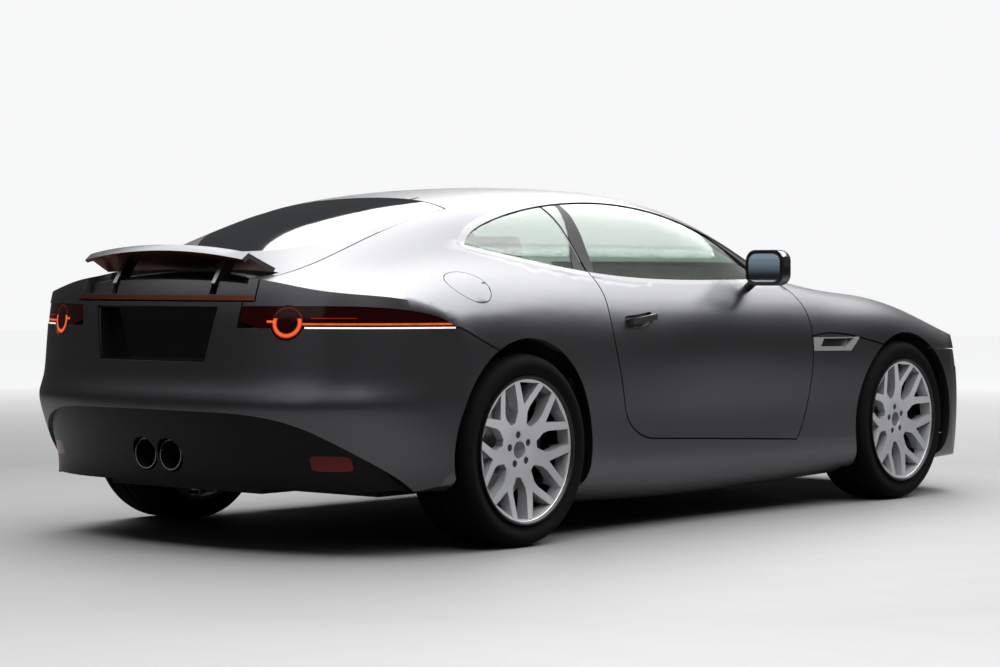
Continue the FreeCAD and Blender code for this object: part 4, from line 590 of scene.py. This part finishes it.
bolt_ring = 0.054
for wheel, centre in wheels.items():
    corner = wheel.removeprefix("wheel_")
    side = 1 if centre.y > 0 else -1
    rim = smoothed("rim_" + corner, rim_finish("silver_" + corner, centre))
    take_up(rim)
    bpy.ops.mesh.customdata_custom_splitnormals_clear()
    bpy.ops.object.mode_set(mode="EDIT")
    bpy.ops.mesh.select_all(action="SELECT")
    bpy.ops.mesh.remove_doubles(threshold=0.0002)
    bpy.ops.mesh.dissolve_limited(angle_limit=radians(2.5))
    bpy.ops.object.mode_set(mode="OBJECT")
    rounded(rim, 0.0045, 38)
    bpy.ops.object.shade_smooth_by_angle(angle=radians(40))
    low, high_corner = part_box("rim_" + corner)
    face = (high_corner.y if side > 0 else low.y) - side * 0.042
    bpy.ops.object.select_all(action="DESELECT")
    bpy.ops.mesh.primitive_cylinder_add(vertices=24, radius=0.0128, depth=0.016,
                                        location=(centre.x, face - side * 0.010, centre.z),
                                        rotation=(radians(90), 0, 0))
    head = bpy.context.object
    bpy.ops.object.mode_set(mode="EDIT")
    bpy.ops.mesh.bevel(offset=0.0012, segments=1)
    bpy.ops.object.mode_set(mode="OBJECT")
    bpy.ops.object.transform_apply(location=True, rotation=True, scale=True)
    for i in range(5):
        turn = 2 * pi * i / 5 + pi / 7
        spread = Vector((bolt_ring * cos(turn), 0, -side * bolt_ring * sin(turn)))
        bolt = bpy.data.objects.new("bolt", head.data.copy())
        bpy.context.scene.collection.objects.link(bolt)
        for vertex in bolt.data.vertices:
            vertex.co += spread
        placed(bolt, "bolt_%s_%d" % (corner, i + 1), bolt_steel, wheel)
    bpy.data.objects.remove(head)
    cap = turned("cap_" + corner, [(0.0, face - side * 0.0048), (0.0, face + side * 0.002),
                                   (0.018, face + side * 0.001), (0.0285, face - side * 0.002),
                                   (0.0295, face - side * 0.0048)],
                 Vector((centre.x, 0, centre.z)), 48)
    placed(cap, "cap_" + corner, dark_cap, wheel)

# Brake discs: cast iron, turned and finely pitted. The wear shows as broad patches of
# duller and brighter metal.
iron = Finish("disc_iron", (0.30, 0.30, 0.30), 0.38, 0.9)
iron.feed("Roughness", 0.30 + iron.noise(60.0, 3.0) * 0.18)
iron.dent(iron.noise(500.0, 2.0), 0.10, 0.0005)
for wheel in wheels:
    smoothed("brake_disc_" + wheel.removeprefix("wheel_"), iron)

# Running gear, radiator, floor and liners: black wax-coated steel, bare cast metal and
# moulded felt-like plastic, all out of sight or in shadow.
underside = Finish("wax_black_steel", (0.028, 0.028, 0.030), 0.62, 0.2)
underside.feed("Roughness", 0.52 + underside.noise(9.0) * 0.25)
underside.feed("Base Color", underside.mixed(
    underside.noise(14.0, 4.0), (0.020, 0.020, 0.021, 1), (0.045, 0.044, 0.042, 1)))
underside.dent(underside.noise(160.0, 4.0), 0.3, 0.001)
cast = Finish("cast_metal", (0.22, 0.22, 0.225), 0.55, 0.8)
cast.feed("Roughness", 0.45 + cast.noise(40.0) * 0.25)
cast.dent(cast.noise(260.0, 4.0), 0.35, 0.0012)
felt = Finish("liner_felt", (0.018, 0.018, 0.019), 0.92)
felt.dent(felt.noise(700.0, 4.0), 0.5, 0.0012)
felt.feed("Base Color", felt.mixed(felt.noise(220.0, 3.0), (0.012, 0.012, 0.013, 1),
                                   (0.03, 0.03, 0.031, 1)))
for node, finish in (("floor_pan", underside), ("front_suspension", underside),
                     ("rear_suspension", underside), ("engine_block", cast),
                     ("knuckle_left", cast), ("knuckle_right", cast), ("radiator", underside),
                     ("arch_liners", felt)):
    smoothed(node, finish)

# Exhaust: a dark steel silencer and pipes, ending in two polished round tips. The tips
# are dark with soot inside.
tip_wide, tip_high, tip_bore = 0.063, 0.333, 0.0515
steel = Finish("polished_steel", (0.55, 0.54, 0.53), 0.16, 1.0)
soot = (steel.along("X") > -2.1435) * (reach(abs(steel.along("Y")) - tip_wide,
                                             steel.along("Z") - tip_high) < tip_bore)
can = (steel.along("X") > -2.08) + soot
steel.feed("Base Color", steel.mixed(can, (0.50, 0.49, 0.48, 1), (0.03, 0.028, 0.026, 1)))
steel.feed("Roughness", 0.14 + steel.noise(70.0, 3.0, (1, 6, 6)) * 0.16 + can * 0.4)
smoothed("exhaust", steel)

# Black mouldings: the plate recess and front grille are polished, and the rear diffuser
# is satin, with a dull red reflector printed at each side.
piano = Finish("gloss_black_plastic", (0.004, 0.004, 0.0045), 0.10, 0.0, {"Coat Weight": 0.3})
piano.feed("Roughness", 0.07 + piano.noise(14.0) * 0.10)
satin_black = Finish("satin_black_plastic", (0.005, 0.005, 0.0055), 0.36, 0.0,
                     {"Specular IOR Level": 0.35})
satin_black.feed("Roughness", 0.30 + satin_black.noise(30.0) * 0.12)
satin_black.dent(satin_black.noise(1100.0, 2.0), 0.18, 0.0004)
smoothed("plate_recess", piano)
valance = Finish("rear_valance_black", (0.002, 0.002, 0.0022), 0.30, 0.0,
                 {"Specular IOR Level": 0.14})
wide, high = abs(valance.along("Y")), valance.along("Z")
reflector_wide, reflector_high = abs(wide - 0.690) / 0.062, abs(high - 0.322) / 0.026
square_round = reflector_wide ** 6 + reflector_high ** 6
reflector, surround = square_round < 1.0, square_round < 2.2
prisms = valance.node("ShaderNodeTexVoronoi", {"feature": "F1"},
                      {"Vector": valance.spot(), "Scale": 190.0})
black = valance.mixed(surround, (0.002, 0.002, 0.0022, 1), (0.0008, 0.0008, 0.0008, 1))
valance.feed("Base Color", valance.mixed(reflector, black, (0.09, 0.012, 0.009, 1)))
valance.feed("Roughness", 0.28 + valance.noise(30.0) * 0.1 - reflector * 0.16)
valance.dent(reflector * prisms * 1.6 + valance.noise(900.0, 2.0) * 0.1, 0.5, 0.0009)
smoothed("rear_diffuser", valance)
smoothed("front_grille", piano)


def grid(name, across, cells, place, turn=0.0):
    """A moulded grid of thin bars in a front opening."""
    bpy.ops.object.select_all(action="DESELECT")
    bpy.ops.mesh.primitive_grid_add(x_subdivisions=cells[0], y_subdivisions=cells[1], size=1,
                                    location=(0, 0, 0))
    piece = bpy.context.object
    piece.scale = (across[0], across[1], 1)
    bpy.ops.object.transform_apply(location=False, rotation=False, scale=True)
    bars = piece.modifiers.new("bars", "WIREFRAME")
    bars.thickness, bars.use_even_offset = 0.0042, True
    bpy.ops.object.modifier_apply(modifier=bars.name)
    piece.location, piece.rotation_euler = place, (radians(90), 0, radians(90 + turn))
    piece.name = name
    take_up(piece)
    bpy.ops.object.transform_apply(location=True, rotation=True, scale=True)
    piece.data.materials.append(satin_black.material)
    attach(piece, "body")


low, high_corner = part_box("front_grille")
grid("grille_mesh", (high_corner.y - low.y - 0.03, high_corner.z - low.z - 0.02), (38, 12),
     (low.x + 0.012, 0, (low.z + high_corner.z) / 2))

# Headlamps: a dark glossy cover with a round eye in a bright ring. A thin light line
# runs under the eye, near the nose alone.
cover = Finish("lamp_cover", (0.02, 0.02, 0.022), 0.05, 0.0,
               {"Coat Weight": 0.4, "Coat Roughness": 0.02, "Emission Strength": 0.6})
eye_wide, eye_high = 0.700, 0.617
low_edge = cover.along("Z") - (0.655 - (cover.along("X") - 1.60) * 0.30)
trace = low_edge.within(-0.012, 0.006) * (cover.along("X") > 1.95)
eye = reach(abs(cover.along("Y")) - eye_wide, cover.along("Z") - eye_high)
bowl, ring = eye < 0.020, abs(eye - 0.023) < 0.003
unlit = cover.mixed(bowl, (0.012, 0.012, 0.014, 1), (0.16, 0.17, 0.19, 1))
cover.feed("Base Color", cover.mixed((trace + ring).clamped(), unlit, (0.80, 0.82, 0.85, 1)))
cover.feed("Emission Color", cover.mixed(trace, (0, 0, 0, 1), (0.5, 0.52, 0.55, 1)))
smoothed("headlamps", cover)

# Side vents: satin silver bezels around a black slot behind each front wheel. The slot
# is what lies further in than the bezel's face.
vent_silver = Finish("vent_silver", (0.50, 0.50, 0.51), 0.34, 0.8)
vent_silver.feed("Roughness", 0.30 + vent_silver.noise(60.0) * 0.1)
vents = smoothed("side_vents", vent_silver)
bezel_face = 0.915
lined(vents, satin_black,
      lambda spot, facing: abs(spot.y) < bezel_face and abs(facing.y) > 0.5)

# Door mirrors and handles: black lacquered mirror heads with a bright upper shell and
# silvered glass, and slim handles that stand out of a pocket in the door skin.


def rounded_plate(size, corner, thick, place, turn):
    """A flat plate with round corners, from its back face out along its own Z."""
    bpy.ops.object.select_all(action="DESELECT")
    bpy.ops.mesh.primitive_plane_add(size=1, location=(0, 0, 0))
    piece = bpy.context.object
    piece.scale = (size[0], size[1], 1)
    bpy.ops.object.transform_apply(location=False, rotation=False, scale=True)
    bpy.ops.object.mode_set(mode="EDIT")
    bpy.ops.mesh.select_all(action="SELECT")
    bpy.ops.mesh.bevel(offset=corner, segments=6, affect="VERTICES")
    bpy.ops.mesh.select_all(action="SELECT")
    bpy.ops.mesh.extrude_region_move(TRANSFORM_OT_translate={"value": (0, 0, thick)})
    bpy.ops.object.mode_set(mode="OBJECT")
    piece.location, piece.rotation_euler = place, turn
    return piece


mirror_shell = Finish("mirror_shell", (0.006, 0.006, 0.0065), 0.12)
cap_zone = (mirror_shell.along("Z") > 1.0) * (mirror_shell.along("X") > 0.228)
mirror_shell.feed("Base Color", mirror_shell.mixed(cap_zone, (0.006, 0.006, 0.0065, 1),
                                                   (0.34, 0.34, 0.35, 1)))
mirror_shell.feed("Metallic", cap_zone * 1.0)
mirror_shell.feed("Roughness", 0.10 + mirror_shell.noise(20.0) * 0.08)
silvered = Finish("silvered_glass", (0.72, 0.76, 0.78), 0.02, 1.0, {"Emission Strength": 1.0})
# The upper part of the mirror glass glows pale blue: a painted reflection of the sky.
skyline, sky_blend = 0.965, 0.05
painted_sky_reflection = ((silvered.along("Z") - skyline) / sky_blend).clamped()
silvered.feed("Emission Color", silvered.mixed(painted_sky_reflection, (0.006, 0.007, 0.008, 1),
                                               (0.13, 0.17, 0.22, 1)))
silvered.feed("Roughness", 0.015 + silvered.noise(8.0) * 0.02)
for hand, side in (("left", 1), ("right", -1)):
    smoothed("mirror_" + hand, mirror_shell)
    pane = rounded_plate((0.112, 0.146), 0.034, 0.003, (0.2185, side * 0.950, 0.993),
                         (0, radians(-90), 0))
    placed(pane, "mirror_glass_" + hand, silvered, "door_" + hand)
chrome = Finish("chrome", (0.68, 0.68, 0.69), 0.08, 1.0)
chrome.feed("Roughness", 0.05 + chrome.noise(12.0) * 0.07)
smoothed("handle_left", chrome)
smoothed("handle_right", chrome)

# Front side intakes: a moulded grid in each, square to the bumper's corner, and a black
# baffle behind it that closes the view through the wheel arch.
intake_wide, intake_high, intake_turn = 0.70, 0.35, 25.8
for hand, side in (("left", 1), ("right", -1)):
    grid("intake_grid_" + hand, (0.27, 0.17), (14, 8),
         (1.995, side * intake_wide, intake_high), side * intake_turn)
    baffle = rounded_plate((0.19, 0.30), 0.02, 0.004,
                           (1.955, side * intake_wide, intake_high),
                           (0, radians(90), radians(side * intake_turn)))
    placed(baffle, "intake_baffle_" + hand, satin_black, "body")

# Rear blade: painted on top like the panels. Its underside and the arms that carry it are
# copper: painted light, the red-orange glow of the tail lamps below them.
lamp_glow_copper = Finish("blade_under_lamp_glow", (0.26, 0.085, 0.045), 0.26, 0.9)
lamp_glow_copper.feed("Roughness", 0.24 + lamp_glow_copper.noise(16.0) * 0.12)
blade = smoothed("spoiler", paint)
lined(blade, lamp_glow_copper, lambda spot, facing: facing.z < -0.25 or spot.z < 0.90)

# Cabin: soft black mouldings with a screen and dials, a leather wheel, a shelf behind
# the seats, and two leather sports seats of puffed pads with stitched channels.
hide = Finish("black_hide", (0.030, 0.027, 0.026), 0.48)
seat_middle, channel_pitch = 0.37, 46.0
cells = hide.node("ShaderNodeTexVoronoi", {"feature": "DISTANCE_TO_EDGE"},
                  {"Vector": hide.spot(), "Scale": 520.0})
channel = abs(hide.node("ShaderNodeMath", {"operation": "SINE"},
                        {0: (hide.along("Z") - hide.along("X")) * channel_pitch}))
pad_middle = abs(abs(hide.along("Y")) - seat_middle) < 0.125
groove = (channel < 0.16) * pad_middle
hide.dent(cells * 0.6 - groove, 0.6, 0.0016)
hide.feed("Roughness", 0.42 + hide.noise(18.0) * 0.2)
wheel_hide = Finish("wheel_hide", (0.024, 0.022, 0.022), 0.42)
wheel_hide.dent(wheel_hide.noise(640.0, 3.0), 0.4, 0.0006)
wheel_hide.feed("Roughness", 0.36 + wheel_hide.noise(30.0) * 0.2)
smoothed("dashboard", soft)
smoothed("steering_wheel", wheel_hide)


def pad(place, size, turn=0.0):
    """A stuffed pad: a block with its edges rounded off and its faces puffed out."""
    bpy.ops.object.select_all(action="DESELECT")
    bpy.ops.mesh.primitive_cube_add(size=1, location=(0, 0, 0))
    piece = bpy.context.object
    piece.scale = size
    bpy.ops.object.transform_apply(location=False, rotation=False, scale=True)
    bevel = piece.modifiers.new("round", "BEVEL")
    bevel.width, bevel.segments = min(size) * 0.30, 2
    bpy.ops.object.modifier_apply(modifier=bevel.name)
    smooth = piece.modifiers.new("puff", "SUBSURF")
    smooth.levels = 2
    bpy.ops.object.modifier_apply(modifier=smooth.name)
    piece.location, piece.rotation_euler = place, (0, radians(turn), 0)
    return piece


pads = []
for side in (1, -1):
    mid = side * seat_middle
    pads += [pad((-0.31, mid, 0.315), (0.51, 0.34, 0.17)),
             pad((-0.638, mid, 0.675), (0.15, 0.34, 0.64), -20),
             pad((-0.764, mid, 1.015), (0.105, 0.25, 0.185), -14)]
    for edge_y in (mid - 0.19, mid + 0.19):
        pads += [pad((-0.31, edge_y, 0.300), (0.50, 0.105, 0.235)),
                 pad((-0.615, edge_y, 0.640), (0.19, 0.105, 0.56), -20)]
bpy.ops.object.select_all(action="DESELECT")
for piece in pads:
    piece.select_set(True)
bpy.context.view_layer.objects.active = pads[0]
bpy.ops.object.join()
seats = placed(pads[0], "seat_upholstery", hide, "body", 60)
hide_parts("seats")

dials = Finish("dark_display", (0.004, 0.004, 0.005), 0.08, 0.0, {"Emission Strength": 0.5})
screen_height, dial_apart = 0.828, 0.062
up_z = dials.along("Z") - screen_height
ring_off = abs(abs(dials.along("Y") - seat_middle) - dial_apart)
marks = reach(ring_off, up_z).within(0.036, 0.038)
dials.feed("Emission Color", dials.mixed(marks, (0.002, 0.002, 0.003, 1), (0.75, 0.77, 0.8, 1)))
dials.feed("Roughness", 0.06 + dials.noise(12.0) * 0.05)
for name, mid, width in (("centre_screen", 0.0, 0.25), ("dial_pod", seat_middle, 0.26)):
    plate = rounded_plate((0.096, width), 0.014, 0.045, (0.322, mid, screen_height),
                          (0, radians(90), 0))
    placed(plate, name, dials, "body")
shelf = pad((-1.02, 0, 0.905), (0.30, 1.20, 0.05), 4)
placed(shelf, "rear_shelf", soft, "body", 60)
